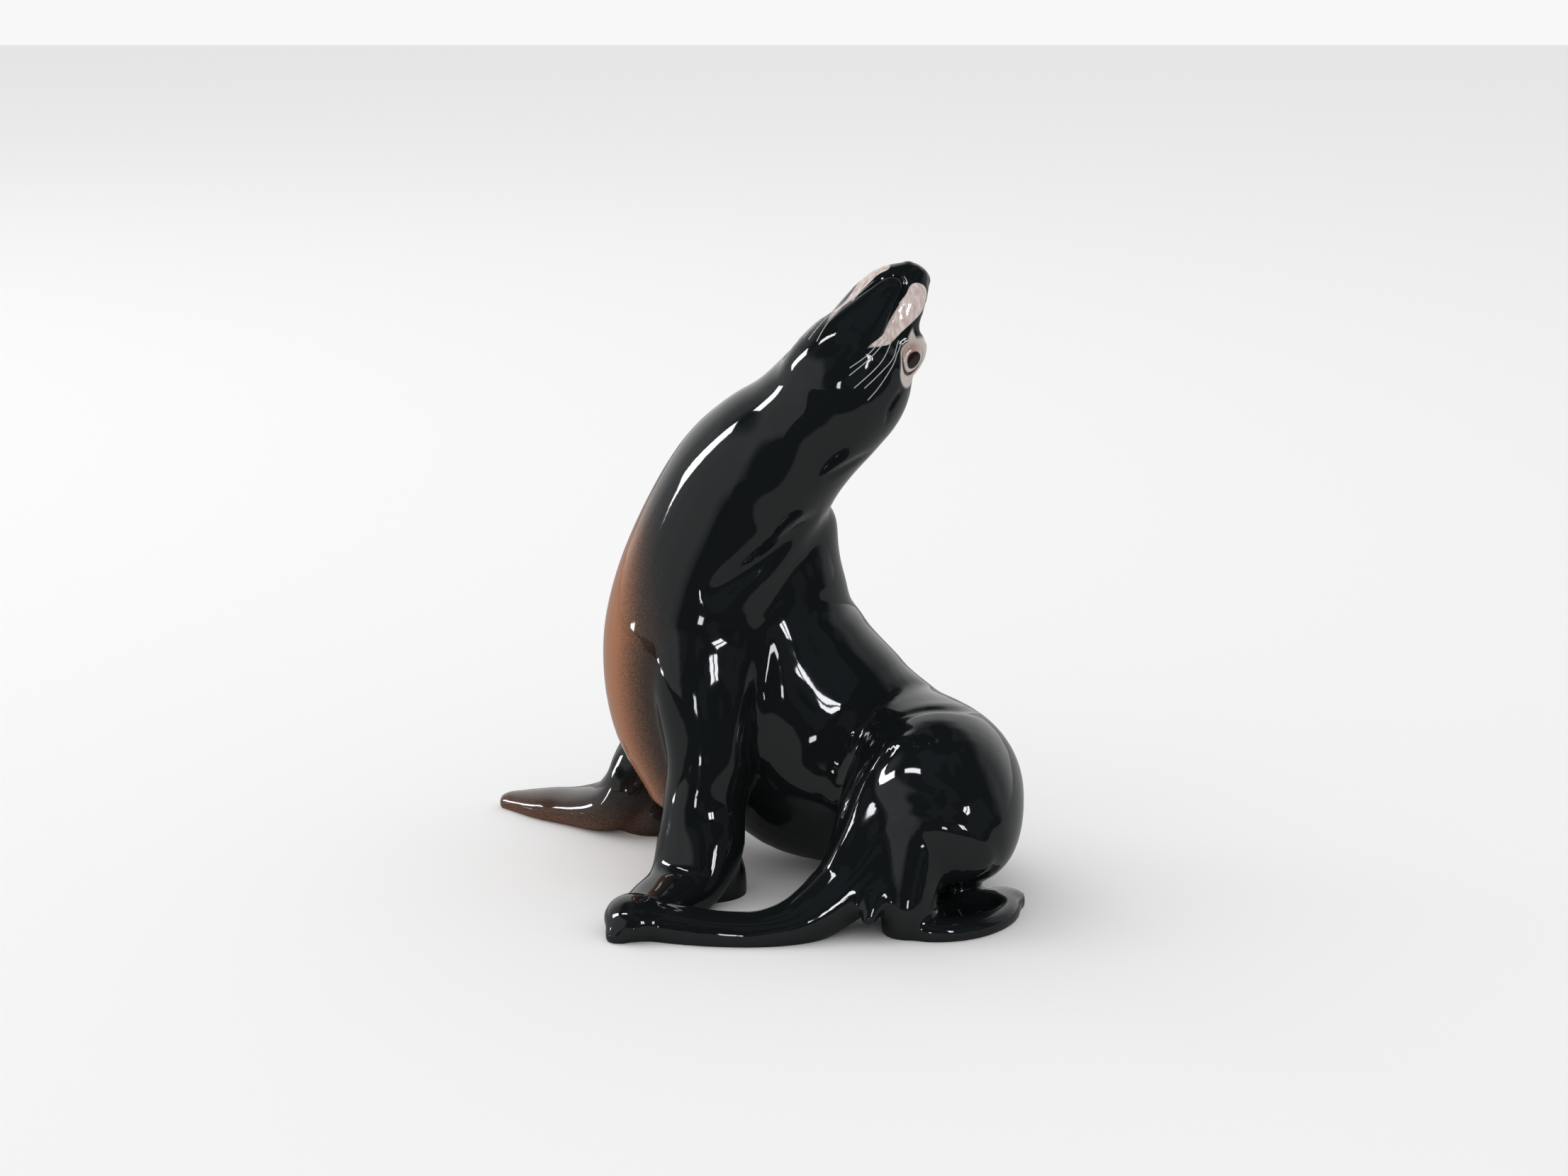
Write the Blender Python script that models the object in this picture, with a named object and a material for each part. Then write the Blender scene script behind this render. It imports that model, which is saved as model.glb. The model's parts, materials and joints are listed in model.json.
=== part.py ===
"""Porcelain sea lion figurine, about 153 mm tall: one hollow slip-cast body.

The animal sits with its chest turned towards -X, its neck thrown back and its
nose in the air. Its rear curls round towards -Y, with one hind flipper swept
forward to the left front flipper and the other laid out to +X. Every mass is a
loft of rings along a path. The masses are fused into one skin, the folds are
pressed into it, and the casting cavity, the vent and the ground-flat feet are
cut out of it. All sizes below are in millimetres.
"""

import math

import bmesh
import bpy
import numpy as np
from mathutils import Vector

MM = 0.001

# Driving dimensions, in millimetres and degrees
SHOULDER_HEIGHT = 70.0   # ground to the ring through the shoulders
NECK_RISE = 62.6         # shoulders to the back of the head
CHEST_DEPTH = 26.6       # half depth of the chest, breast to withers
CHEST_WIDTH = 26.0       # half width of the chest
HAUNCH_RADIUS = 25.6     # half height of the haunches
RUMP_SWEEP = 45.0        # how far the rump is curled round, from the spine towards -Y
RUMP_OUT = 41.6          # middle of the rump, towards +X
HEAD_WIDTH = 11.8        # half width of the head at the eyes
SNOUT_LENGTH = 22.8      # middle of the head to the nose
JAW_ROLL = 18.0          # roll of the jaws about the snout, towards the left
WALL = 5.0               # thickness of the cast porcelain
VENT_RADIUS = 3.5        # casting vent in the belly
CHEST_TURN = 17.2        # heading of the chest, from -X towards -Y
ARM_RADIUS = 9.2         # front flippers at mid length
PALM_HEIGHT = 5.0        # half thickness of the front flippers' hands
PALM_WIDTH = 8.2         # half width of the hands at the knuckles
LEFT_REACH = 36.0        # tip of the left front flipper ahead of the chest's foot point
RIGHT_REACH = 38.5       # tip of the right one
RIGHT_BACK = 2.2         # the right forearm stands this much further back
RIGHT_SPREAD = 1.25      # how much broader the right hand is where it leaves the arm
BLADE_HEIGHT = 6.8       # thickness of the left hind flipper at mid length
BLADE_DEPTH = 11.4       # its width there
FAN_HEIGHT = 4.8         # rim of the right hind flipper above the ground
DISH_FLOOR = 2.4         # porcelain left under the dish in the right hind flipper
DISH_LENGTH = 25.0       # the dish, from the leg to the flipper's tip
DISH_WIDTH = 11.5        # the dish, across
DISH_TURN = 33.0         # its heading, from +X towards +Y
EYE_RADIUS = 4.8         # bulge of each eye
FOLD_DEPTH = 1.5         # deepest skin folds
SKIN_VOXEL = 0.9         # grid on which the masses are fused
SKIN_ROUNDS = 9          # smoothing of the joints between masses
SKIN_TRIANGLES = 9800    # left in the outer skin
CAVITY_TRIANGLES = 1000  # left in the inner wall


def unit(v):
    v = np.asarray(v, float)
    return v / np.linalg.norm(v)


UP = np.array([0.0, 0.0, 1.0])

# Chest frame: CHEST is on the chest's plane of symmetry, at the ground
CHEST = np.array([-15.0, 13.0, 0.0])
FORWARD = np.array([-math.cos(math.radians(CHEST_TURN)), -math.sin(math.radians(CHEST_TURN)), 0])
LEFT = np.array([-FORWARD[1], FORWARD[0], 0])

# Rump frame: the ground below the middle of the rump. SPINE is the back's place in Y
SPINE = 14.0
RUMP = np.array([RUMP_OUT, SPINE - RUMP_SWEEP, 0.0])

# Head frame: along the snout, towards the crown, towards the left ear
HEAD = np.array([22.8, 0.0, SHOULDER_HEIGHT + NECK_RISE - 0.6])
SNOUT = unit([0.56, 0.10, 0.82])
LEAN = np.array([0.576, 0.658, -0.475])
CROWN = unit(LEAN - (LEAN @ SNOUT) * SNOUT)
HEAD_LEFT = np.cross(CROWN, SNOUT)
ROLL = math.radians(JAW_ROLL)
JAW_CROWN = CROWN * math.cos(ROLL) - HEAD_LEFT * math.sin(ROLL)
JAW_LEFT = np.cross(JAW_CROWN, SNOUT)


def on_chest(f, l, z):
    """Point f forward and l left of the chest's foot point, at height z."""
    return CHEST + FORWARD * f + LEFT * l + UP * z


def on_rump(x, y, z):
    """Point x and y away from the middle of the rump, at height z."""
    return RUMP + np.array([x, y, z])


def in_head(f, l=0.0, c=0.0):
    """Point f along the snout, l to the left and c towards the crown."""
    return HEAD + SNOUT * f + HEAD_LEFT * l + CROWN * c


def spline(rows, per):
    """Catmull-Rom curve through the rows, with per samples a span."""
    rows = np.asarray(rows, float)
    ends = np.vstack([2 * rows[0] - rows[1], rows, 2 * rows[-1] - rows[-2]])
    t = np.arange(per)[:, None] / per
    out = []
    for p0, p1, p2, p3 in zip(ends, ends[1:], ends[2:], ends[3:]):
        out.append(0.5 * (2 * p1 + (p2 - p0) * t + (2 * p0 - 5 * p1 + 4 * p2 - p3) * t ** 2
                          + (3 * p1 - p0 - 3 * p2 + p3) * t ** 3))
    return np.vstack(out + [rows[-1:]])


def station(centre, axis, a, b):
    """One ring of a loft: a is its half size along the axis, b across it.

    A pair gives the half sizes on the plus and the minus side.
    """
    a = a if isinstance(a, tuple) else (a, a)
    b = b if isinstance(b, tuple) else (b, b)
    return np.concatenate([centre, unit(axis), a, b])


def loft(stations, caps, segments=36, per=6, square=2.0):
    """Closed skin over rings along a smooth path, with a dome of each cap's length."""
    rows = spline(stations, per)
    centre, axis, size = rows[:, :3], rows[:, 3:6], rows[:, 6:]
    tangent = np.gradient(centre, axis=0)
    tangent /= np.linalg.norm(tangent, axis=1)[:, None]
    axis = axis - (axis * tangent).sum(1)[:, None] * tangent
    axis /= np.linalg.norm(axis, axis=1)[:, None]
    across = np.cross(tangent, axis)
    turn = np.linspace(0, 2 * math.pi, segments, endpoint=False)
    cos, sin = np.cos(turn), np.sin(turn)
    cos_s = np.sign(cos) * np.abs(cos) ** (2 / square)
    sin_s = np.sign(sin) * np.abs(sin) ** (2 / square)

    def ring(i, along, k):
        a = np.where(cos >= 0, size[i, 0], size[i, 1]) * cos_s * k
        b = np.where(sin >= 0, size[i, 2], size[i, 3]) * sin_s * k
        return centre[i] + tangent[i] * along + a[:, None] * axis[i] + b[:, None] * across[i]

    dome = [math.pi / 2 * j / 6 for j in range(1, 6)]
    rings = [ring(0, -caps[0] * math.sin(p), math.cos(p)) for p in reversed(dome)]
    rings += [ring(i, 0, 1) for i in range(len(rows))]
    rings += [ring(-1, caps[1] * math.sin(p), math.cos(p)) for p in dome]
    mesh = bmesh.new()
    loops = [[mesh.verts.new(p) for p in points] for points in rings]
    for low, high in zip(loops, loops[1:]):
        for j in range(segments):
            k = (j + 1) % segments
            mesh.faces.new((low[j], low[k], high[k], high[j]))
    start = mesh.verts.new(centre[0] - tangent[0] * caps[0])
    end = mesh.verts.new(centre[-1] + tangent[-1] * caps[1])
    for j in range(segments):
        k = (j + 1) % segments
        mesh.faces.new((start, loops[0][k], loops[0][j]))
        mesh.faces.new((end, loops[-1][j], loops[-1][k]))
    return mesh


def ball(centre, axes, sizes):
    """Ellipsoid with its half sizes along three axes."""
    mesh = bmesh.new()
    bmesh.ops.create_uvsphere(mesh, u_segments=28, v_segments=16, radius=1.0)
    for vert in mesh.verts:
        vert.co = Vector(centre + sum(axis * size * k for axis, size, k in zip(axes, sizes, vert.co)))
    bmesh.ops.recalc_face_normals(mesh, faces=mesh.faces)
    return mesh


def throat(t):
    """Direction that the throat faces: forward at the chest, out of the head at t = 1."""
    return unit(FORWARD * (1 - t) - CROWN * t)


def neck_stations(less=0.0):
    """Chest, neck and back of the head, each ring smaller by less.

    A ring has its place, its height as a share of the shoulders' height or of
    the neck's rise above them, its turn, and its shares of the chest's size.
    """
    d, w, s, r = CHEST_DEPTH, CHEST_WIDTH, SHOULDER_HEIGHT, NECK_RISE
    rings = [
        (-9.5, 11.0, s * 0.364, 0.00, d * 0.82, w * 0.79),
        (-13.5, 12.0, s * 0.586, 0.00, d * 0.96, w * 0.92),
        (-14.0, 12.0, s * 0.800, 0.00, d * 1.00, w * 1.00),
        (-12.5, 12.0, s * 1.000, 0.05, d * 0.945, w * 0.935),
        (-9.0, 11.0, s + r * 0.224, 0.15, d * 0.842, w * 0.885),
        (-4.2, 9.0, s + r * 0.416, 0.30, d * 0.752, w * 0.819),
        (2.3, 6.0, s + r * 0.559, 0.50, d * 0.684, w * 0.738),
        (9.4, 3.3, s + r * 0.677, 0.75, d * 0.613, w * 0.638),
        (15.6, 0.9, s + r * 0.786, 0.95, d * 0.586, w * 0.623),
        (20.2, -0.6, s + r * 0.880, 1.00, d * 0.575, w * 0.600),
        (23.6, -1.0, s + r * 1.000, 1.00, d * 0.500, w * 0.515),
    ]
    return [station((x, y, z), throat(t), a - less, b - less) for x, y, z, t, a, b in rings]


def trunk_stations(less=0.0):
    """Shoulder hump, back, belly and rump, each ring smaller by less."""
    h, s, out = HAUNCH_RADIUS, SHOULDER_HEIGHT, RUMP_OUT

    def curled(t):
        return SPINE - RUMP_SWEEP * t

    rings = [
        ((5.6, SPINE + 1, s * 1.271), (1, 0, 0.1), 13.5, 13, 15),
        ((1.4, SPINE, s * 1.114), (1, 0, 0.15), 19.8, 18.8, 20),
        ((-1.3, SPINE, s * 0.914), (1, 0, 0.35), 25, 25, 23.5),
        ((2.7, curled(0.02), s * 0.686), (0.75, 0, 0.6), h * 1.04, h * 1.055, h * 0.98),
        ((out * 0.373, curled(0.07), 32.5), (0.65, 0, 0.75), h * 1.066, h * 1.25, h * 0.98),
        ((out * 0.72, curled(0.22), 25.0), (0.45, -0.1, 0.85), h * 0.97, h, h * 0.98),
        ((out * 0.96, curled(0.49), 25.0), (0, -0.1, 1), h * 0.883, h, h * 0.883),
        ((out * 1.01, curled(0.755), 24.8), (0, 0, 1), h * 0.88, h, h * 0.82),
        ((out, curled(1.0), 21.5), (0, 0, 1), h * 0.75, h * 0.72, h * 0.742),
        ((out * 0.96, curled(1.155), 18.5), (0, 0.3, 1), h * 0.52, h * 0.36, h * 0.60),
    ]
    return [station(c, axis, (up - less, low - less), b - less) for c, axis, up, low, b in rings]


def jaw_ring(f, c, throat_side, crown_side, side):
    """Ring of a jaw, with its place along the snout in the snout's own length."""
    along = f * SNOUT_LENGTH / 22.8
    return station(HEAD + SNOUT * along + JAW_CROWN * c, -JAW_CROWN, (throat_side, crown_side), side)


def muzzle():
    """Upper jaw, with full lips that hang over the lower one."""
    w = HEAD_WIDTH
    return loft([
        jaw_ring(-3.0, 1.5, 7.4, 7.6, w * 1.00),
        jaw_ring(4.0, 0.0, 7.0, 5.8, w * 0.96),
        jaw_ring(9.5, -1.2, 5.8, 4.4, w * 0.88),
        jaw_ring(14.0, -1.7, 5.0, 4.1, w * 0.79),
        jaw_ring(17.6, -1.3, 4.4, 4.3, w * 0.68),
        jaw_ring(21.0, 0.3, 3.3, 3.9, w * 0.52),
        jaw_ring(23.0, 1.4, 2.5, 3.2, w * 0.38),
    ], caps=(5, 2.4), square=2.5)


def jaw():
    """Lower jaw, narrow between the lips."""
    w = HEAD_WIDTH
    return loft([
        jaw_ring(-19.0, -5.0, 6.4, 7.0, w * 0.98),
        jaw_ring(-10.0, -6.8, 7.8, 7.6, w * 1.02),
        jaw_ring(-2.0, -6.6, 7.6, 6.0, w * 0.92),
        jaw_ring(5.0, -5.8, 6.0, 4.8, w * 0.72),
        jaw_ring(11.0, -5.2, 4.5, 3.8, w * 0.53),
        jaw_ring(16.5, -4.2, 3.4, 3.0, w * 0.38),
    ], caps=(5, 2.8))


def nose():
    return ball(HEAD + SNOUT * SNOUT_LENGTH + JAW_CROWN * 2.6, (SNOUT, JAW_CROWN, JAW_LEFT), (2.6, 2.7, 4.2))


def eye(side):
    return ball(in_head(5.2, (HEAD_WIDTH - 2.2) * side, 3.8), (SNOUT, CROWN, HEAD_LEFT),
                (EYE_RADIUS * 1.45, EYE_RADIUS * 0.95, EYE_RADIUS * 0.85))


def ear(side):
    w = HEAD_WIDTH
    return loft([
        station(in_head(-5.0, (w + 0.8) * side, 6.6), CROWN, 1.6, 1.3),
        station(in_head(-8.0, (w + 1.8) * side, 6.8), CROWN, 1.5, 1.0),
        station(in_head(-10.5, (w + 2.4) * side, 6.6), CROWN, 0.9, 0.6),
    ], caps=(2, 1), segments=16)


def front_flipper(side, reach, back, spread):
    """Front flipper: shoulder, forearm and a hand that turns forward and outward on the ground.

    side is 1 for the left, reach is how far ahead of the chest the tip lies,
    back is how far the forearm is set back, and spread widens the hand's root.
    """
    knuckle = unit(FORWARD * 0.57 - LEFT * side * 0.82)
    wrist = unit(FORWARD * 0.8 - LEFT * side * 0.6)
    r, h, w, s = ARM_RADIUS, PALM_HEIGHT, PALM_WIDTH, SHOULDER_HEIGHT

    def thick(over, under):
        return (under, over) if side > 0 else (over, under)

    def hand(t, z, width, height):
        f, l = 12 + (reach - 12) * t, 31 + (reach - 12) * t * 0.9
        return station(on_chest(f, l * side, h * z), knuckle, (w * width[0], w * width[1]), h * height)

    return loft([
        station(on_chest(3.0 - back * 0.3, 11 * side, s * 0.943), FORWARD, 14.0, 12.4),
        station(on_chest(4.5 - back * 0.6, 18.2 * side, s * 0.743), FORWARD, 14.2, 11.6),
        station(on_chest(5.5 - back, 23.4 * side, s * 0.486), FORWARD, r * 1.18, r),
        station(on_chest(7.6 - back, 25.4 * side, s * 0.314), FORWARD, r * 1.10, r * 0.92),
        station(on_chest(9.6 - back * 0.7, 28.4 * side, 13), wrist, r * 1.18 * spread,
                thick(r * 0.95, r * 0.9)),
        station(on_chest(14.5, 33 * side, h), knuckle, w * 1.25 * spread,
                thick(h * 1.3 * spread, h * 1.2)),
        hand(0.4, 0.6, (1.25, 0.95), 1.0),
        hand(0.7, 0.42, (1.0, 0.75), 0.8),
        hand(1.0, 0.25, (0.5, 0.4), 0.55),
    ], caps=(10, 3.6), square=2.2)


def heel(side):
    """Root of the hand, under the forearm."""
    return ball(on_chest(6.4, 26.4 * side, 1.5), (FORWARD, LEFT, UP), (9.0, 8.6, 15.0))


def left_hind():
    """Left thigh, and the flipper swept forward along the ground to the left hand."""
    h, w = BLADE_HEIGHT, BLADE_DEPTH / 2
    return loft([
        station(on_rump(-5.6, 15, 30), (0, -1, 0), 13, 14),
        station(on_rump(-10.6, 6, 24), (-0.3, -0.9, 0), 12.5, 13),
        station(on_rump(-15.6, -2, 17), (-0.5, -0.7, 0.2), 10.5, 11),
        station(on_rump(-22.6, -8.8, 10.2), (-0.3, -0.7, 0.6), 7.4, 8.2),
        station(on_rump(-32.0, -14.2, 4.8), (0, -0.35, 0.9), (h * 0.78, h), w * 1.15),
        station(on_rump(-41.6, -16.4, 2.6), UP, (h * 0.62, h), w * 1.03),
        station(on_rump(-51.6, -16.5, 2.4), UP, (h * 0.62, h), w * 0.98),
        station(on_rump(-61.6, -14.6, 2.8), UP, (h * 0.7, h), w),
        station(on_rump(-69.6, -12.0, 3.2), UP, (h * 0.75, h), w),
    ], caps=(5, 3), square=2.3)


def left_tip():
    """Rounded tip where the left hind flipper lies over the left hand."""
    return ball(on_rump(-72.2, -12.2, 3.8), (FORWARD, LEFT, UP), (7.4, 8.4, 5.8))


def right_shank():
    """Right hind leg, down from the haunch to the end of its flipper."""
    return loft([
        station(on_rump(-2.4, 0.5, 22), (1, 0, 0), (11, 13), 15.6),
        station(on_rump(-5.4, -5.4, 14), (1, 0, 0), (7.6, 10.0), 11.6),
        station(on_rump(-7.4, -10.2, 6), (1, 0, 0), 6.6, 8.4),
        station(on_rump(-7.4, -10.8, 0), (1, 0, 0), 6.4, 7.0),
    ], caps=(5, 2), segments=28, square=2.2)


def right_hind():
    """Right hind flipper, laid out flat like a fan."""
    h = FAN_HEIGHT
    return loft([
        station(on_rump(-7.6, -9.8, h * 0.45), UP, (h * 0.75, h), 7.8),
        station(on_rump(-2.1, -9.0, h * 0.4), UP, (h * 0.65, h), 10.4),
        station(on_rump(4.4, -6.0, h * 0.4), UP, (h * 0.6, h), 11.2),
        station(on_rump(11.2, 0.2, h * 0.4), UP, (h * 0.55, h), 9.4),
        station(on_rump(16.8, 7.2, h * 0.4), UP, (h * 0.45, h), 5.0),
    ], caps=(3.5, 5.0), square=3.0)


def tail():
    return loft([
        station(on_rump(-10.6, -4, 18), UP, 9.0, 9.5),
        station(on_rump(-13.8, -10.2, 11.5), UP, 5.6, 6.6),
        station(on_rump(-16.0, -15.6, 8.0), UP, 3.2, 3.2),
        station(on_rump(-17.2, -18.4, 5.4), UP, 1.8, 2.0),
    ], caps=(4, 1.4), segments=20)


# Places where two masses run into each other softly: centre, radius and smoothing rounds
BLENDS = [
    ((20, 16, 78), 30, 60), ((-8, -2, 62), 18, 20),   # back of the neck, right shoulder
    ((9, -8, 124), 17, 30), ((-1, -12, 47), 14, 26),  # throat, behind the left forearm
    ((-29, -44, 7), 13, 10), ((32, -44, 19), 15, 22),  # left hand, right hind leg
]

# Folds of the skin: each is a path over the surface, its half width, and its
# depth as a share of FOLD_DEPTH (a ridge's is negative)
FOLDS = [
    # throat to withers, over the left shoulder
    ([(12, -2, 93), (9, -6, 90), (3, -9, 85), (-3, -11, 81), (-9, -12.5, 77), (-14, -13, 73)], 3.0, 1.0),
    # behind the left forearm
    ([(0, -10, 68), (0, -11, 58), (-1, -11.5, 50), (-2, -12.5, 41), (-3.5, -15, 33)], 3.2, 0.7),
]

# The same on the haunches, from the middle of the rump
RUMP_FOLDS = [
    # top of the haunch
    ([(-15, 9, 42), (-11, 14, 44.5), (-5, 15, 47.5), (2, 15.5, 48), (7, 18, 47), (11.5, 25, 44)], 2.5, 0.8),
    # front edge of the left thigh: a ridge, with a furrow before it
    ([(-6, 2, 46), (-11, 3, 42), (-15.5, 1.5, 35), (-18.5, -1.5, 28.5), (-21.5, -6.5, 22), (-26.5, -12, 16)],
     2.0, -1.0),
    ([(-10, 9, 46), (-15.5, 7, 40), (-20, 3.5, 33), (-23, 0, 27), (-26, -4, 21.5), (-31, -9, 15)], 2.6, 1.2),
    # between the tail and the right leg, and between the tail and the left leg
    ([(-10.2, -11, 13), (-11, -12.5, 10.5), (-12.6, -15, 7)], 1.6, 0.55),
    ([(-18, -11.5, 12), (-19, -13, 10), (-20.2, -15, 7.5)], 1.6, 0.55),
]


def masses():
    """Every mass of the outer form."""
    made = [loft(neck_stations(), (13, 7)), loft(trunk_stations(), (8, 6)),
            muzzle(), jaw(), nose(), tail(), left_hind(), right_shank(), right_hind(), left_tip()]
    for side, reach, back, spread in ((1, LEFT_REACH, 0.0, 1.0), (-1, RIGHT_REACH, RIGHT_BACK, RIGHT_SPREAD)):
        made += [eye(side), ear(side), front_flipper(side, reach, back, spread), heel(side)]
    return made


def joined(meshes, name):
    """One object, in millimetres, holding all the meshes."""
    whole = bpy.data.meshes.new(name)
    both = bmesh.new()
    for mesh in meshes:
        part = bpy.data.meshes.new(name + "_piece")
        mesh.to_mesh(part)
        both.from_mesh(part)
        mesh.free()
        bpy.data.meshes.remove(part)
    both.to_mesh(whole)
    both.free()
    obj = bpy.data.objects.new(name, whole)
    bpy.context.scene.collection.objects.link(obj)
    return obj


def applied(obj):
    """Replaces the object's mesh with what its modifiers make of it."""
    bpy.context.view_layer.update()
    graph = bpy.context.evaluated_depsgraph_get()
    mesh = bpy.data.meshes.new_from_object(obj.evaluated_get(graph))
    obj.modifiers.clear()
    old, obj.data = obj.data, mesh
    bpy.data.meshes.remove(old)
    return obj


def fuse(obj, voxel, rounds):
    """Fuses overlapping shells into one skin and blends their joints."""
    remesh = obj.modifiers.new("fuse", "REMESH")
    remesh.mode = "VOXEL"
    remesh.voxel_size = voxel
    smooth = obj.modifiers.new("blend", "SMOOTH")
    smooth.factor = 0.5
    smooth.iterations = round(rounds)
    return applied(obj)


def reduced(obj, triangles):
    tri = obj.modifiers.new("triangles", "TRIANGULATE")
    bpy.context.view_layer.update()
    count = len(obj.evaluated_get(bpy.context.evaluated_depsgraph_get()).data.polygons)
    thin = obj.modifiers.new("thin", "DECIMATE")
    thin.ratio = triangles / count
    return applied(obj)


def soften(obj):
    """Blends the skin within each of the BLENDS balls, fully at its middle."""
    for centre, radius, rounds in BLENDS:
        group = obj.vertex_groups.new(name="blend")
        for vert in obj.data.vertices:
            gap = (vert.co - Vector(centre)).length / radius
            if gap < 1:
                group.add([vert.index], 1 - gap ** 2, "REPLACE")
        smooth = obj.modifiers.new("soften", "SMOOTH")
        smooth.factor = 0.5
        smooth.iterations = rounds
        smooth.vertex_group = group.name
        applied(obj)
        obj.vertex_groups.clear()
    return obj


def press_folds(obj):
    """Moves the skin in along each fold and out along each ridge, with soft flanks."""
    count = len(obj.data.vertices)
    points = np.empty(count * 3)
    normals = np.empty(count * 3)
    obj.data.vertices.foreach_get("co", points)
    obj.data.vertices.foreach_get("normal", normals)
    points, normals = points.reshape(-1, 3), normals.reshape(-1, 3)
    shift = np.zeros(count)
    on_skin = FOLDS + [([tuple(on_rump(*place)) for place in path], width, depth)
                       for path, width, depth in RUMP_FOLDS]
    for path, width, depth in on_skin:
        curve = spline(path, 8)
        fade = np.sin(np.linspace(0, math.pi, len(curve))) ** 0.6
        near = np.full(count, 1e9)
        strength = np.zeros(count)
        for point, k in zip(curve, fade):
            gap = np.linalg.norm(points - point, axis=1)
            closer = gap < near
            near[closer] = gap[closer]
            strength[closer] = k
        shift -= FOLD_DEPTH * depth * strength * np.exp(-(near / width) ** 2)
    points += normals * shift[:, None]
    obj.data.vertices.foreach_set("co", points.ravel())
    obj.data.update()
    return obj


def press_dish(obj):
    """Hollows the top of the right hind flipper, leaving a rim round it."""
    turn = math.radians(DISH_TURN)
    middle = on_rump(6.2, -5.2, 0)
    for vert in obj.data.vertices:
        dx, dy = vert.co.x - middle[0], vert.co.y - middle[1]
        along = (dx * math.cos(turn) + dy * math.sin(turn)) * 2 / DISH_LENGTH
        across = (dy * math.cos(turn) - dx * math.sin(turn)) * 2 / DISH_WIDTH
        inside = 1 - along ** 2 - across ** 2
        if inside > 0 and DISH_FLOOR < vert.co.z < FAN_HEIGHT * 1.1:
            vert.co.z = min(vert.co.z, DISH_FLOOR + (1 - min(1, inside * 2.2)) * FAN_HEIGHT)
    obj.data.update()
    return obj


def outer_skin(voxel=SKIN_VOXEL, rounds=SKIN_ROUNDS):
    return press_dish(press_folds(soften(fuse(joined(masses(), "sea_lion"), voxel, rounds))))


def cavity():
    """Inside of the cast wall: chest, neck, back and rump, each a wall thinner."""
    core = [loft(neck_stations(WALL), (8, 2)), loft(trunk_stations(WALL), (3, 1))]
    return reduced(fuse(joined(core, "cavity"), 1.6, 10), CAVITY_TRIANGLES)


def cutter(name, mesh):
    obj = joined([mesh], name)
    obj.hide_render = True
    obj.display_type = "WIRE"
    return obj


def vent():
    """Round casting vent, straight up through the belly, behind the chest."""
    mesh = bmesh.new()
    bmesh.ops.create_cone(mesh, cap_ends=True, segments=28, radius1=VENT_RADIUS, radius2=VENT_RADIUS, depth=32)
    bmesh.ops.translate(mesh, verts=mesh.verts, vec=on_chest(-15, -1.5, 14))
    return cutter("vent_cutter", mesh)


def ground():
    """Everything below the kiln shelf, which grinds the soles flat."""
    mesh = bmesh.new()
    bmesh.ops.create_cube(mesh, size=1)
    bmesh.ops.scale(mesh, verts=mesh.verts, vec=(400, 400, 40))
    bmesh.ops.translate(mesh, verts=mesh.verts, vec=(0, 0, -20))
    return cutter("ground_cutter", mesh)


def cut(obj, tool):
    boolean = obj.modifiers.new(tool.name, "BOOLEAN")
    boolean.operation = "DIFFERENCE"
    boolean.object = tool
    return applied(obj)


def glaze():
    """Near-black glaze over porcelain."""
    material = bpy.data.materials.new("black_glaze")
    material.use_nodes = True
    shader = material.node_tree.nodes["Principled BSDF"]
    shader.inputs["Base Color"].default_value = (0.012, 0.013, 0.016, 1)
    shader.inputs["Roughness"].default_value = 0.08
    shader.inputs["Metallic"].default_value = 0.0
    return material


def settle(obj):
    """Turns millimetres into metres and puts the origin under the middle of the box."""
    corners = np.array([vert.co for vert in obj.data.vertices])
    low, high = corners.min(axis=0), corners.max(axis=0)
    foot = Vector(((low[0] + high[0]) / 2, (low[1] + high[1]) / 2, low[2]))
    for vert in obj.data.vertices:
        vert.co = (vert.co - foot) * MM


def main():
    for old in list(bpy.data.objects):
        bpy.data.objects.remove(old)
    body = reduced(outer_skin(), SKIN_TRIANGLES)
    hollow = cavity()
    for tool in (ground(), hollow, vent()):
        body = cut(body, tool)
    for tool in [obj for obj in bpy.data.objects if obj is not body]:
        bpy.data.objects.remove(tool)
    settle(body)
    body.data.materials.clear()
    body.data.materials.append(glaze())
    body.data.shade_smooth()
    body.data.set_sharp_from_angle(angle=math.radians(40))


if __name__ == "__main__":
    main()
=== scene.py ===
"""Looks of a glazed porcelain sea lion figurine.

The body is lofted and fused like the solid that it replaces, on a finer grid, and
its lids, lips, nostrils, ears and folds of skin are carved in. Each painted field
is kept on the mesh as the distance to its edge, and the glaze turns the distances
into colour. Shapes are worked out in millimetres, in the frame in which they were
modelled, and the finished pieces are moved into the frame of the solid, in metres.
"""

import json
import logging
import math
from dataclasses import dataclass, field
from enum import Enum

import bmesh
import bpy
import numpy as np
from mathutils import Matrix, Vector
from mathutils.bvhtree import BVHTree

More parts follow.
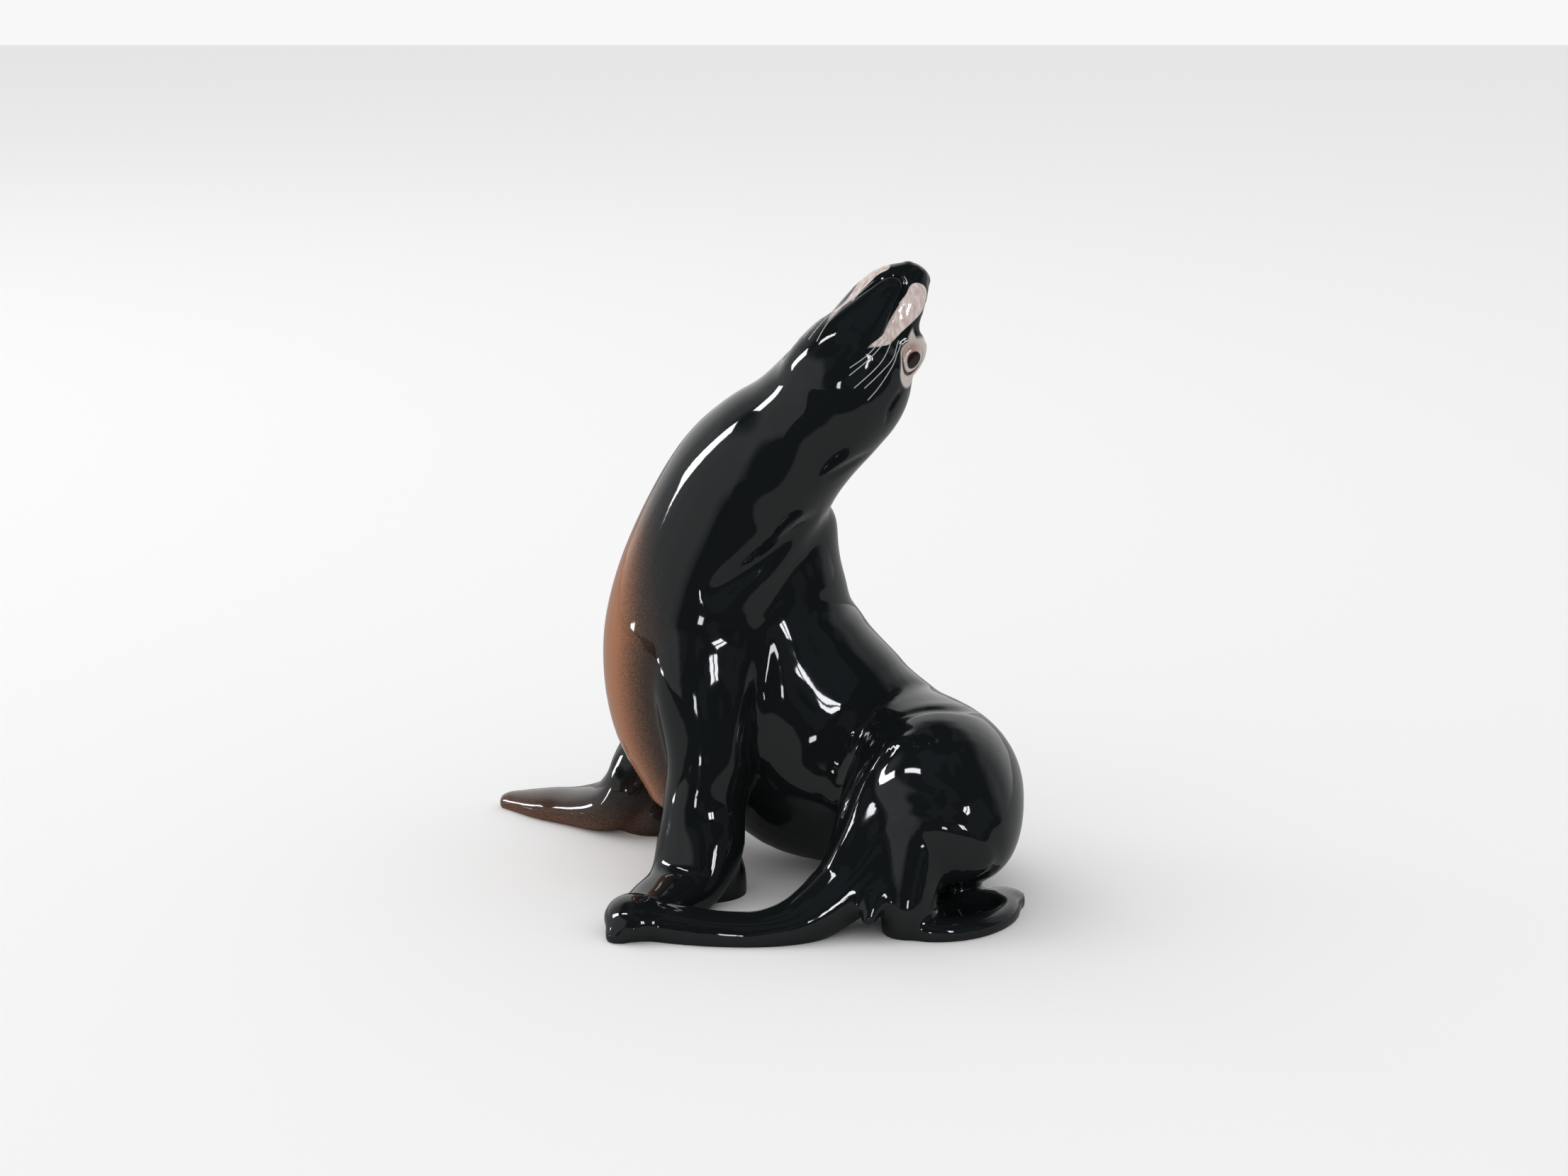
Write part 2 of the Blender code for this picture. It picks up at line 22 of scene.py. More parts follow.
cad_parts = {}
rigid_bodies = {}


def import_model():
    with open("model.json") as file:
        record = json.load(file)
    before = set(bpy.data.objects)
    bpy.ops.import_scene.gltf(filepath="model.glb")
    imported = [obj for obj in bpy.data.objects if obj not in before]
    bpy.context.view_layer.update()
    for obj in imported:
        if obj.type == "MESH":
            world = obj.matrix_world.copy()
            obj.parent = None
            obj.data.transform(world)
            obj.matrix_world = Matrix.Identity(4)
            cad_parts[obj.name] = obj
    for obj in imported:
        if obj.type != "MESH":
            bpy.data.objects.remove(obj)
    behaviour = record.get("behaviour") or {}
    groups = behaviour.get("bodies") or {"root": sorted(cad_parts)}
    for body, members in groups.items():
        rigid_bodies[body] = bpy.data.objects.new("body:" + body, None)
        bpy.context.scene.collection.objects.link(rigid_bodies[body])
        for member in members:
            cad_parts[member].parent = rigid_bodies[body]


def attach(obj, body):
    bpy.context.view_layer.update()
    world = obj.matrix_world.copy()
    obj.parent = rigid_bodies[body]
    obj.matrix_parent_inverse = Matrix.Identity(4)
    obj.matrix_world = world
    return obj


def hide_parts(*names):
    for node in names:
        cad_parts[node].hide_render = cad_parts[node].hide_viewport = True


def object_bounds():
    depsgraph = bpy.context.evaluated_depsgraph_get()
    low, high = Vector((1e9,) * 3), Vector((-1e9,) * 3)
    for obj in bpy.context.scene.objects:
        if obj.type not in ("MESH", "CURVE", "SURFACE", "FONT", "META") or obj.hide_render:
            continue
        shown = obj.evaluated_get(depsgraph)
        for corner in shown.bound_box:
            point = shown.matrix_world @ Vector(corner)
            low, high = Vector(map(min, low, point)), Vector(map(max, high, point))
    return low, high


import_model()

CAD_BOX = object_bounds()
MM = 0.001
LOG = logging.getLogger("figurine")

Vec = np.ndarray
Size = float | tuple[float, float]
Points = list[tuple[float, float, float]]
Blends = tuple[tuple[tuple[float, float, float], float, int], ...]
Mesh = bmesh.types.BMesh
Socket = bpy.types.NodeSocket
UP = np.array([0.0, 0.0, 1.0])


class Side(Enum):
    """The animal's own left and right."""

    LEFT = 1
    RIGHT = -1


def unit(vector: Vec | tuple[float, ...]) -> Vec:
    """The vector at length one."""
    vector = np.asarray(vector, float)
    return vector / np.linalg.norm(vector)


def spline(rows: Vec | Points | list[Vec], per: int) -> Vec:
    """Draws a smooth curve through rows of numbers.

    Args:
        rows: Points, or stations of a loft, one to a row.
        per: Samples between two rows.

    Returns:
        The samples, one to a row, from the first row to the last.
    """
    rows = np.asarray(rows, float)
    ends = np.vstack([2 * rows[0] - rows[1], rows, 2 * rows[-1] - rows[-2]])
    t = np.arange(per)[:, None] / per
    out = []
    for p0, p1, p2, p3 in zip(ends, ends[1:], ends[2:], ends[3:]):
        out.append(0.5 * (2 * p1 + (p2 - p0) * t + (2 * p0 - 5 * p1 + 4 * p2 - p3) * t ** 2
                          + (3 * p1 - p0 - 3 * p2 + p3) * t ** 3))
    return np.vstack(out + [rows[-1:]])


def station(centre: Vec | tuple[float, ...], axis: Vec | tuple[float, ...], a: Size, b: Size) -> Vec:
    """One ring of a loft.

    Args:
        centre: Middle of the ring.
        axis: Direction of the half size a.
        a: Half size along the axis, or a pair for its plus and minus side.
        b: Half size across the axis, or a pair.

    Returns:
        The ring as one row of ten numbers.
    """
    a = a if isinstance(a, tuple) else (a, a)
    b = b if isinstance(b, tuple) else (b, b)
    return np.concatenate([centre, unit(axis), a, b])


def loft(stations: list[Vec], caps: tuple[float, float], segments: int = 40, per: int = 6,
         square: float = 2.0) -> Mesh:
    """Skins a row of rings along a smooth path and closes it with two domes.

    Args:
        stations: The rings, from station().
        caps: Length of the dome at each end.
        segments: Points round a ring.
        per: Rings between two stations.
        square: Exponent of the ring's outline, 2 for an ellipse and more for a squarer one.

    Returns:
        A closed mesh.
    """
    rows = spline(stations, per)
    centre, axis, size = rows[:, :3], rows[:, 3:6], rows[:, 6:]
    tangent = np.gradient(centre, axis=0)
    tangent /= np.linalg.norm(tangent, axis=1)[:, None]
    axis = axis - (axis * tangent).sum(1)[:, None] * tangent
    axis /= np.linalg.norm(axis, axis=1)[:, None]
    across = np.cross(tangent, axis)
    turn = np.linspace(0, 2 * math.pi, segments, endpoint=False)
    cos, sin = np.cos(turn), np.sin(turn)
    cos_s = np.sign(cos) * np.abs(cos) ** (2 / square)
    sin_s = np.sign(sin) * np.abs(sin) ** (2 / square)

    def ring(i: int, along: float, k: float) -> Vec:
        """The points of one ring, moved along the path and scaled."""
        a = np.where(cos >= 0, size[i, 0], size[i, 1]) * cos_s * k
        b = np.where(sin >= 0, size[i, 2], size[i, 3]) * sin_s * k
        return centre[i] + tangent[i] * along + a[:, None] * axis[i] + b[:, None] * across[i]

    dome = [math.pi / 2 * j / 6 for j in range(1, 6)]
    rings = [ring(0, -caps[0] * math.sin(p), math.cos(p)) for p in reversed(dome)]
    rings += [ring(i, 0, 1) for i in range(len(rows))]
    rings += [ring(-1, caps[1] * math.sin(p), math.cos(p)) for p in dome]
    mesh = bmesh.new()
    loops = [[mesh.verts.new(p) for p in points] for points in rings]
    for low, high in zip(loops, loops[1:]):
        for j in range(segments):
            k = (j + 1) % segments
            mesh.faces.new((low[j], low[k], high[k], high[j]))
    start = mesh.verts.new(centre[0] - tangent[0] * caps[0])
    end = mesh.verts.new(centre[-1] + tangent[-1] * caps[1])
    for j in range(segments):
        k = (j + 1) % segments
        mesh.faces.new((start, loops[0][k], loops[0][j]))
        mesh.faces.new((end, loops[-1][j], loops[-1][k]))
    return mesh


def ball(centre: Vec, axes: tuple[Vec, Vec, Vec], sizes: tuple[float, float, float]) -> Mesh:
    """Makes an ellipsoid.

    Args:
        centre: Its middle.
        axes: Its three directions.
        sizes: Its half size along each of them.

    Returns:
        A closed mesh.
    """
    mesh = bmesh.new()
    bmesh.ops.create_uvsphere(mesh, u_segments=32, v_segments=20, radius=1.0)
    for vert in mesh.verts:
        vert.co = Vector(centre + sum(axis * size * k for axis, size, k in zip(axes, sizes, vert.co)))
    bmesh.ops.recalc_face_normals(mesh, faces=mesh.faces)
    return mesh


def near_path(points: Vec, path: Points | Vec, reach: float, per: int = 8) -> tuple[Vec, Vec]:
    """Measures how close points lie to a smooth path.

    Args:
        points: The points, one to a row.
        path: Points that the path runs through.
        reach: Points further off than this are left out.
        per: Samples between two of the path's points.

    Returns:
        Each point's distance to the path, at most twice the reach, and its place along it from 0 to 1.
    """
    curve = spline(path, per)
    gap = np.full(len(points), 2.0 * reach)
    along = np.zeros(len(points))
    inside = (points > curve.min(0) - reach) & (points < curve.max(0) + reach)
    close = np.flatnonzero(inside.all(axis=1))
    chosen = points[close]
    for k, (start, end) in enumerate(zip(curve, curve[1:])):
        step = end - start
        t = np.clip((chosen - start) @ step / (step @ step), 0, 1)
        away = np.linalg.norm(chosen - start - t[:, None] * step, axis=1)
        closer = away < gap[close]
        gap[close[closer]] = away[closer]
        along[close[closer]] = (k + t[closer]) / (len(curve) - 1)
    return gap, along


@dataclass(frozen=True)
class Fold:
    """A furrow pressed into the skin along a path, or a ridge where its depth is negative."""

    path: Points
    width: float
    depth: float

    def shift(self, points: Vec) -> Vec:
        """How far each point moves out along its normal."""
        gap, along = near_path(points, self.path, 3.5 * self.width)
        fade = np.sin(np.clip(along, 0, 1) * math.pi) ** 0.6
        return -self.depth * fade * np.exp(-(gap / self.width) ** 2)


@dataclass(frozen=True)
class Posture:
    """Where the chest, the rump and the head are, and which way each of them faces."""

    shoulder_height: float = 70.0
    neck_rise: float = 62.6
    chest_turn: float = 17.2
    spine: float = 14.0
    rump_sweep: float = 45.0
    rump_out: float = 41.6
    jaw_roll: float = 18.0
    chest_foot: tuple[float, float] = (-15.0, 13.0)
    head_out: float = 22.8
    snout_aim: tuple[float, float, float] = (0.56, 0.10, 0.82)
    lean: tuple[float, float, float] = (0.576, 0.658, -0.475)

    @property
    def forward(self) -> Vec:
        """The way the chest faces."""
        turn = math.radians(self.chest_turn)
        return np.array([-math.cos(turn), -math.sin(turn), 0.0])

    @property
    def left(self) -> Vec:
        """The chest's left."""
        return np.array([-self.forward[1], self.forward[0], 0.0])

    @property
    def snout(self) -> Vec:
        """The way the nose points."""
        return unit(self.snout_aim)

    @property
    def crown(self) -> Vec:
        """From the throat to the top of the head."""
        lean = np.array(self.lean)
        return unit(lean - (lean @ self.snout) * self.snout)

    @property
    def ear_side(self) -> Vec:
        """From the middle of the head to the left ear."""
        return np.cross(self.crown, self.snout)

    @property
    def jaw_crown(self) -> Vec:
        """From the lower jaw to the upper one, which roll a little towards the left."""
        roll = math.radians(self.jaw_roll)
        return self.crown * math.cos(roll) - self.ear_side * math.sin(roll)

    @property
    def head(self) -> Vec:
        """Middle of the head."""
        return np.array([self.head_out, 0.0, self.shoulder_height + self.neck_rise - 0.6])

    def on_chest(self, f: float, l: float, z: float) -> Vec:
        """A point f forward and l left of the chest's foot point, at height z."""
        return np.array([*self.chest_foot, 0.0]) + self.forward * f + self.left * l + UP * z

    def on_rump(self, x: float, y: float, z: float) -> Vec:
        """A point x and y away from the middle of the rump, at height z."""
        return np.array([self.rump_out + x, self.spine - self.rump_sweep + y, z])

    def in_head(self, f: float, l: float = 0.0, c: float = 0.0) -> Vec:
        """A point f along the snout, l to the left and c towards the crown."""
        return self.head + self.snout * f + self.ear_side * l + self.crown * c

    def in_jaw(self, f: float, l: float = 0.0, c: float = 0.0) -> Vec:
        """The same in the rolled frame of the jaws."""
        left = np.cross(self.jaw_crown, self.snout)
        return self.head + self.snout * f + left * l + self.jaw_crown * c

    def head_places(self, points: Vec) -> Vec:
        """Each point's place along the snout, to the left and towards the crown."""
        return (points - self.head) @ np.stack([self.snout, self.ear_side, self.crown], axis=1)


@dataclass(frozen=True)
class Trunk:
    """Neck, chest, back and haunches, with the casting cavity inside and its vent."""

    posture: Posture
    chest_depth: float = 26.6
    chest_width: float = 26.0
    haunch: float = 25.6
    wall: float = 5.0
    vent_radius: float = 3.5
    vent_place: tuple[float, float, float] = (-15.0, -1.5, 14.0)

    def throat(self, t: float) -> Vec:
        """The way the throat faces: forward at the chest, out of the head at t = 1."""
        return unit(self.posture.forward * (1 - t) - self.posture.crown * t)

    def neck_rings(self, less: float = 0.0) -> list[Vec]:
        """Lists the rings of the chest, the neck and the back of the head.

        Args:
            less: Taken off each half size.

        Returns:
            The stations, from the belly to the head.
        """
        d, w = self.chest_depth, self.chest_width
        s, r = self.posture.shoulder_height, self.posture.neck_rise
        rings = [
            (-9.5, 11.0, s * 0.364, 0.00, d * 0.82, w * 0.79),
            (-13.5, 12.0, s * 0.586, 0.00, d * 0.96, w * 0.92),
            (-14.0, 12.0, s * 0.800, 0.00, d * 1.00, w * 1.00),
            (-12.5, 12.0, s * 1.000, 0.05, d * 0.945, w * 0.935),
            (-9.0, 11.0, s + r * 0.224, 0.15, d * 0.842, w * 0.885),
            (-4.2, 9.0, s + r * 0.416, 0.30, d * 0.752, w * 0.819),
            (2.3, 6.0, s + r * 0.559, 0.50, d * 0.684, w * 0.738),
            (9.4, 3.3, s + r * 0.677, 0.75, d * 0.613, w * 0.638),
            (15.6, 0.9, s + r * 0.786, 0.95, d * 0.586, w * 0.623),
            (20.2, -0.6, s + r * 0.880, 1.00, d * 0.575, w * 0.600),
            (23.6, -1.0, s + r * 1.000, 1.00, d * 0.500, w * 0.515),
        ]
        return [station((x, y, z), self.throat(t), a - less, b - less) for x, y, z, t, a, b in rings]

    def back_rings(self, less: float = 0.0) -> list[Vec]:
        """Lists the rings of the withers, the back and the rump.

        Args:
            less: Taken off each half size.

        Returns:
            The stations, from the withers to the rump.
        """
        h, s = self.haunch, self.posture.shoulder_height
        out, spine, sweep = self.posture.rump_out, self.posture.spine, self.posture.rump_sweep
        rings = [
            ((5.6, spine + 1, s * 1.271), (1, 0, 0.1), 13.5, 13, 15),
            ((1.4, spine, s * 1.114), (1, 0, 0.15), 19.8, 18.8, 20),
            ((-1.3, spine, s * 0.914), (1, 0, 0.35), 25, 25, 23.5),
            ((2.7, spine - sweep * 0.02, s * 0.686), (0.75, 0, 0.6), h * 1.04, h * 1.055, h * 0.98),
            ((out * 0.373, spine - sweep * 0.07, 32.5), (0.65, 0, 0.75), h * 1.066, h * 1.25, h * 0.98),
            ((out * 0.72, spine - sweep * 0.22, 25.0), (0.45, -0.1, 0.85), h * 0.97, h, h * 0.98),
            ((out * 0.96, spine - sweep * 0.49, 25.0), (0, -0.1, 1), h * 0.883, h, h * 0.883),
            ((out * 1.01, spine - sweep * 0.755, 24.8), (0, 0, 1), h * 0.88, h, h * 0.82),
            ((out, spine - sweep, 21.5), (0, 0, 1), h * 0.75, h * 0.72, h * 0.742),
            ((out * 0.96, spine - sweep * 1.155, 18.5), (0, 0.3, 1), h * 0.52, h * 0.36, h * 0.60),
        ]
        return [station(c, axis, (up - less, low - less), b - less) for c, axis, up, low, b in rings]

    def masses(self) -> list[Mesh]:
        """The outer shells of the neck and the back."""
        return [loft(self.neck_rings(), (13, 7)), loft(self.back_rings(), (8, 6))]

    def cavity(self) -> list[Mesh]:
        """The same shells, a wall thinner."""
        return [loft(self.neck_rings(self.wall), (8, 2)), loft(self.back_rings(self.wall), (3, 1))]

    def vent(self) -> Mesh:
        """The round cutter of the casting vent in the belly."""
        mesh = bmesh.new()
        bmesh.ops.create_cone(mesh, cap_ends=True, segments=48, radius1=self.vent_radius,
                              radius2=self.vent_radius, depth=32)
        bmesh.ops.translate(mesh, verts=mesh.verts, vec=self.posture.on_chest(*self.vent_place))
        return mesh


@dataclass(frozen=True)
class Head:
    """Jaws, nose, eyes and ears, and the fine carving on them."""

    posture: Posture
    width: float = 11.8
    snout_length: float = 22.8
    eye_radius: float = 4.8
    mouth_depth: float = 0.9
    lid_depth: float = 0.45
    lid_turns: float = 1.62
    pupil: tuple[float, float] = (5.8, 2.9)
    pupil_half: tuple[float, float] = (2.2, 1.8)
    nostril_half: tuple[float, float, float] = (1.0, 0.42, 2.5)
    nostril_depth: float = 0.55
    ear_depth: float = 0.8

    def ring(self, f: float, c: float, throat: float, crown: float, side: float) -> Vec:
        """One ring of a jaw, with its place given on a snout of the usual length."""
        along = f * self.snout_length / 22.8
        return station(self.posture.in_jaw(along, 0, c), -self.posture.jaw_crown, (throat, crown), side)

    def muzzle(self) -> Mesh:
        """Upper jaw, with full lips that hang over the lower one."""
        w = self.width
        return loft([
            self.ring(-3.0, 1.5, 7.4, 7.6, w * 1.00),
            self.ring(4.0, 0.0, 7.0, 5.8, w * 0.96),
            self.ring(9.5, -1.2, 5.8, 4.4, w * 0.88),
            self.ring(14.0, -1.7, 5.0, 4.1, w * 0.79),
            self.ring(17.6, -1.3, 4.4, 4.3, w * 0.68),
            self.ring(21.0, 0.3, 3.3, 3.9, w * 0.52),
            self.ring(23.0, 1.4, 2.5, 3.2, w * 0.38),
        ], caps=(5, 2.4), square=2.5)

    def jaw(self) -> Mesh:
        """Lower jaw, narrow between the lips."""
        w = self.width
        return loft([
            self.ring(-19.0, -5.0, 6.4, 7.0, w * 0.98),
            self.ring(-10.0, -6.8, 7.8, 7.6, w * 1.02),
            self.ring(-2.0, -6.6, 7.6, 6.0, w * 0.92),
            self.ring(5.0, -5.8, 6.0, 4.8, w * 0.72),
            self.ring(11.0, -5.2, 4.5, 3.8, w * 0.53),
            self.ring(16.5, -4.2, 3.4, 3.0, w * 0.38),
        ], caps=(5, 2.8))

    def nose(self) -> Mesh:
        """The nose pad."""
        p = self.posture
        left = np.cross(p.jaw_crown, p.snout)
        return ball(p.in_jaw(self.snout_length, 0, 2.6), (p.snout, p.jaw_crown, left), (2.6, 2.7, 4.2))

    def eye(self, side: Side) -> Mesh:
        """The bulge of an eye."""
        p, r = self.posture, self.eye_radius
        return ball(p.in_head(5.2, (self.width - 2.2) * side.value, 3.8),
                    (p.snout, p.crown, p.ear_side), (r * 1.45, r * 0.95, r * 0.85))

    def ear(self, side: Side) -> Mesh:
        """A small folded ear."""
        p, w, s = self.posture, self.width, side.value
        return loft([
            station(p.in_head(-5.0, (w + 0.8) * s, 6.6), p.crown, 1.6, 1.3),
            station(p.in_head(-8.0, (w + 1.8) * s, 6.8), p.crown, 1.5, 1.0),
            station(p.in_head(-10.5, (w + 2.4) * s, 6.6), p.crown, 0.9, 0.6),
        ], caps=(2, 1), segments=16)

    def masses(self) -> list[Mesh]:
        """Every mass of the head in front of the neck."""
        made = [self.muzzle(), self.jaw(), self.nose()]
        for side in Side:
            made += [self.eye(side), self.ear(side)]
        return made

    def mouth(self, side: Side) -> Vec:
        """The line between the jaws, from the middle of the nose to the corner of the mouth."""
        s = side.value
        line = [(20.4, 0.0, -4.4), (19.6, 1.9, -5.0), (18.2, 3.1, -5.8), (15.0, 3.9, -6.7),
                (11.5, 4.9, -7.4), (6.8, 6.2, -8.3), (3.5, 6.0, -10.1), (1.6, 5.7, -11.3)]
        return np.array([self.posture.in_jaw(f, l * s, c) for f, l, c in line])

    def refined(self, points: Vec) -> tuple[Vec, Vec]:
        """Chooses where the head's skin needs a finer grid.

        Args:
            points: Middle of each face.

        Returns:
            Which faces are split once, and which of them once more.
        """
        f, l, c = self.posture.head_places(points).T
        head = (f > -13) & (np.abs(l) < 22) & (np.abs(c) < 22)
        eyes = (f - self.pupil[0]) ** 2 / 49 + (c - self.pupil[1]) ** 2 / 36 < 1
        lips = np.zeros(len(points), bool)
        for side in Side:
            lips |= near_path(points, self.mouth(side), 3.2)[0] < 3.2
        nose = f > self.snout_length - 1.5
        return head, head & (eyes & (np.abs(l) > 6) | lips | nose)

    def eye_rings(self, places: Vec) -> Vec:
        """How many pupils' radii each point is away from the middle of its pupil."""
        return np.linalg.norm((places[:, [0, 2]] - self.pupil) / self.pupil_half, axis=1)

    def nostril(self, points: Vec, side: Side) -> Vec:
        """Share of the nostril's depth at each point."""
        p = self.posture
        middle = p.in_jaw(self.snout_length + 1.6, 1.9 * side.value, 3.4)
        slit = (points - middle) @ np.stack([p.crown, p.ear_side, p.snout], axis=1)
        return np.exp(-((slit / self.nostril_half) ** 2).sum(axis=1))

    def ear_crease(self, points: Vec, side: Side) -> Vec:
        """Share of the depth of the crease along the ear at each point."""
        line = [(-1.0, 15.2, 3.6), (-4.0, 16.0, 2.6), (-7.5, 16.6, 2.6), (-10.5, 16.6, 4.6)]
        path = [self.posture.in_head(f, l * side.value, c) for f, l, c in line]
        gap, along = near_path(points, path, 3.0)
        return np.sin(along * math.pi) ** 0.8 * np.exp(-(gap / 0.7) ** 2)

    def carving(self, points: Vec) -> Vec:
        """Works out the fine relief of the face.

        Args:
            points: Places of the head's vertices.

        Returns:
            How far each one moves out along its normal.
        """
        places = self.posture.head_places(points)
        shift = np.zeros(len(points))
        for side in Side:
            gap, along = near_path(points, self.mouth(side), 3.0)
            depth = self.mouth_depth * np.clip(np.minimum(along * 12 + 0.4, (1 - along) * 5), 0, 1)
            shift -= depth * np.exp(-(gap / 0.55) ** 2)
            shift -= self.nostril_depth * self.nostril(points, side)
            shift -= self.ear_depth * self.ear_crease(points, side)
        turns = self.eye_rings(places)
        at_eye = np.abs(places[:, 1]) > 7
        lid = np.exp(-((turns - self.lid_turns) / 0.17) ** 2)
        edge = np.exp(-((turns - 2.15) / 0.30) ** 2)
        shift += at_eye * (-self.lid_depth * lid + 0.55 * self.lid_depth * edge)
        return shift


@dataclass(frozen=True)
class FrontFlipper:
    """Front flipper: shoulder, forearm and a hand that turns forward and outward."""

    posture: Posture
    side: Side
    reach: float
    back: float = 0.0
    spread: float = 1.0
    radius: float = 9.2
    palm_height: float = 5.0
    palm_width: float = 8.2

    def masses(self) -> list[Mesh]:
        """The flipper, and the root of its hand."""
        p, k, s = self.posture, self.side.value, self.posture.shoulder_height
        r, h, w, back = self.radius, self.palm_height, self.palm_width, self.back
        knuckle = unit(p.forward * 0.57 - p.left * k * 0.82)
        wrist = unit(p.forward * 0.8 - p.left * k * 0.6)

        def thick(over: float, under: float) -> tuple[float, float]:
            """Half sizes over and under, in the order that this side's rings need."""
            return (under, over) if k > 0 else (over, under)

        def hand(t: float, z: float, width: tuple[float, float], height: float) -> Vec:
            """A ring of the hand, t of the way from the wrist to the tip."""
            out = (self.reach - 12) * t
            middle = p.on_chest(12 + out, (31 + out * 0.9) * k, h * z)
            return station(middle, knuckle, (w * width[0], w * width[1]), h * height)

        arm = loft([
            station(p.on_chest(3.0 - back * 0.3, 11 * k, s * 0.943), p.forward, 14.0, 12.4),
            station(p.on_chest(4.5 - back * 0.6, 18.2 * k, s * 0.743), p.forward, 14.2, 11.6),
            station(p.on_chest(5.5 - back, 23.4 * k, s * 0.486), p.forward, r * 1.18, r),
            station(p.on_chest(7.6 - back, 25.4 * k, s * 0.314), p.forward, r * 1.10, r * 0.92),
            station(p.on_chest(9.6 - back * 0.7, 28.4 * k, 13), wrist, r * 1.18 * self.spread,
                    thick(r * 0.95, r * 0.9)),
            station(p.on_chest(14.5, 33 * k, h), knuckle, w * 1.25 * self.spread,
                    thick(h * 1.3 * self.spread, h * 1.2)),
            hand(0.4, 0.6, (1.25, 0.95), 1.0),
            hand(0.7, 0.42, (1.0, 0.75), 0.8),
            hand(1.0, 0.25, (0.5, 0.4), 0.55),
        ], caps=(10, 3.6), square=2.2)
        heel = ball(p.on_chest(6.4, 26.4 * k, 1.5), (p.forward, p.left, UP), (9.0, 8.6, 15.0))
        return [arm, heel]


@dataclass(frozen=True)
class HindQuarters:
    """Thighs, hind flippers and tail."""

    posture: Posture
    blade_height: float = 6.8
    blade_depth: float = 11.4
    fan_height: float = 4.8
    dish_floor: float = 2.4
    dish_length: float = 25.0
    dish_width: float = 11.5
    dish_turn: float = 33.0

    @property
    def dish_middle(self) -> Vec:
        """Middle of the dish in the right hind flipper."""
        return self.posture.on_rump(6.2, -5.2, 0)

    def left_hind(self) -> list[Mesh]:
        """Left thigh, the flipper swept forward along the ground, and its rounded tip."""
        p, h, w = self.posture, self.blade_height, self.blade_depth / 2
        blade = loft([
            station(p.on_rump(-5.6, 15, 30), (0, -1, 0), 13, 14),
            station(p.on_rump(-10.6, 6, 24), (-0.3, -0.9, 0), 12.5, 13),
            station(p.on_rump(-15.6, -2, 17), (-0.5, -0.7, 0.2), 10.5, 11),
            station(p.on_rump(-22.6, -8.8, 10.2), (-0.3, -0.7, 0.6), 7.4, 8.2),
            station(p.on_rump(-32.0, -14.2, 4.8), (0, -0.35, 0.9), (h * 0.78, h), w * 1.15),
            station(p.on_rump(-41.6, -16.4, 2.6), UP, (h * 0.62, h), w * 1.03),
            station(p.on_rump(-51.6, -16.5, 2.4), UP, (h * 0.62, h), w * 0.98),
            station(p.on_rump(-61.6, -14.6, 2.8), UP, (h * 0.7, h), w),
            station(p.on_rump(-69.6, -12.0, 3.2), UP, (h * 0.75, h), w),
        ], caps=(5, 3), square=2.3)
        return [blade, ball(p.on_rump(-72.2, -12.2, 3.8), (p.forward, p.left, UP), (7.4, 8.4, 5.8))]

    def right_hind(self) -> list[Mesh]:
        """Right hind leg, down from the haunch, and its flipper, laid out flat like a fan."""
        p, h = self.posture, self.fan_height
        shank = loft([
            station(p.on_rump(-2.4, 0.5, 22), (1, 0, 0), (11, 13), 15.6),
            station(p.on_rump(-5.4, -5.4, 14), (1, 0, 0), (7.6, 10.0), 11.6),
            station(p.on_rump(-7.4, -10.2, 6), (1, 0, 0), 6.6, 8.4),
            station(p.on_rump(-7.4, -10.8, 0), (1, 0, 0), 6.4, 7.0),
        ], caps=(5, 2), segments=28, square=2.2)
        fan = loft([
            station(p.on_rump(-7.6, -9.8, h * 0.45), UP, (h * 0.75, h), 7.8),
            station(p.on_rump(-2.1, -9.0, h * 0.4), UP, (h * 0.65, h), 10.4),
            station(p.on_rump(4.4, -6.0, h * 0.4), UP, (h * 0.6, h), 11.2),
            station(p.on_rump(11.2, 0.2, h * 0.4), UP, (h * 0.55, h), 9.4),
            station(p.on_rump(16.8, 7.2, h * 0.4), UP, (h * 0.45, h), 5.0),
        ], caps=(3.5, 5.0), square=3.0)
        return [shank, fan]

    def tail(self) -> Mesh:
        """The short tail between the hind legs."""
        p = self.posture
        return loft([
            station(p.on_rump(-10.6, -4, 18), UP, 9.0, 9.5),
            station(p.on_rump(-13.8, -10.2, 11.5), UP, 5.6, 6.6),
            station(p.on_rump(-16.0, -15.6, 8.0), UP, 3.2, 3.2),
            station(p.on_rump(-17.2, -18.4, 5.4), UP, 1.8, 2.0),
        ], caps=(4, 1.4), segments=20)

    def masses(self) -> list[Mesh]:
        """Every mass behind the trunk."""
        return [*self.left_hind(), *self.right_hind(), self.tail()]

    def folds(self) -> list[Fold]:
        """Folds and ridges of the haunches, the thigh and the flippers."""
        rows = [
            ([(-15, 9, 42), (-11, 14, 44.5), (-5, 15, 47.5), (2, 15.5, 48), (7, 18, 47),
              (11.5, 25, 44)], 2.5, 1.2),
            ([(-6, 2, 46), (-11, 3, 42), (-15.5, 1.5, 35), (-18.5, -1.5, 28.5), (-21.5, -6.5, 22),
              (-26.5, -12, 16)], 2.0, -1.5),
            ([(-10, 9, 46), (-15.5, 7, 40), (-20, 3.5, 33), (-23, 0, 27), (-26, -4, 21.5),
              (-31, -9, 15)], 2.6, 1.8),
            ([(-10.2, -11, 13), (-11, -12.5, 10.5), (-12.6, -15, 7)], 1.6, 0.8),
            ([(-18, -11.5, 12), (-19, -13, 10), (-20.2, -15, 7.5)], 1.6, 0.8),
        ]
        return [Fold([tuple(self.posture.on_rump(*p)) for p in path], width, depth)
                for path, width, depth in rows]

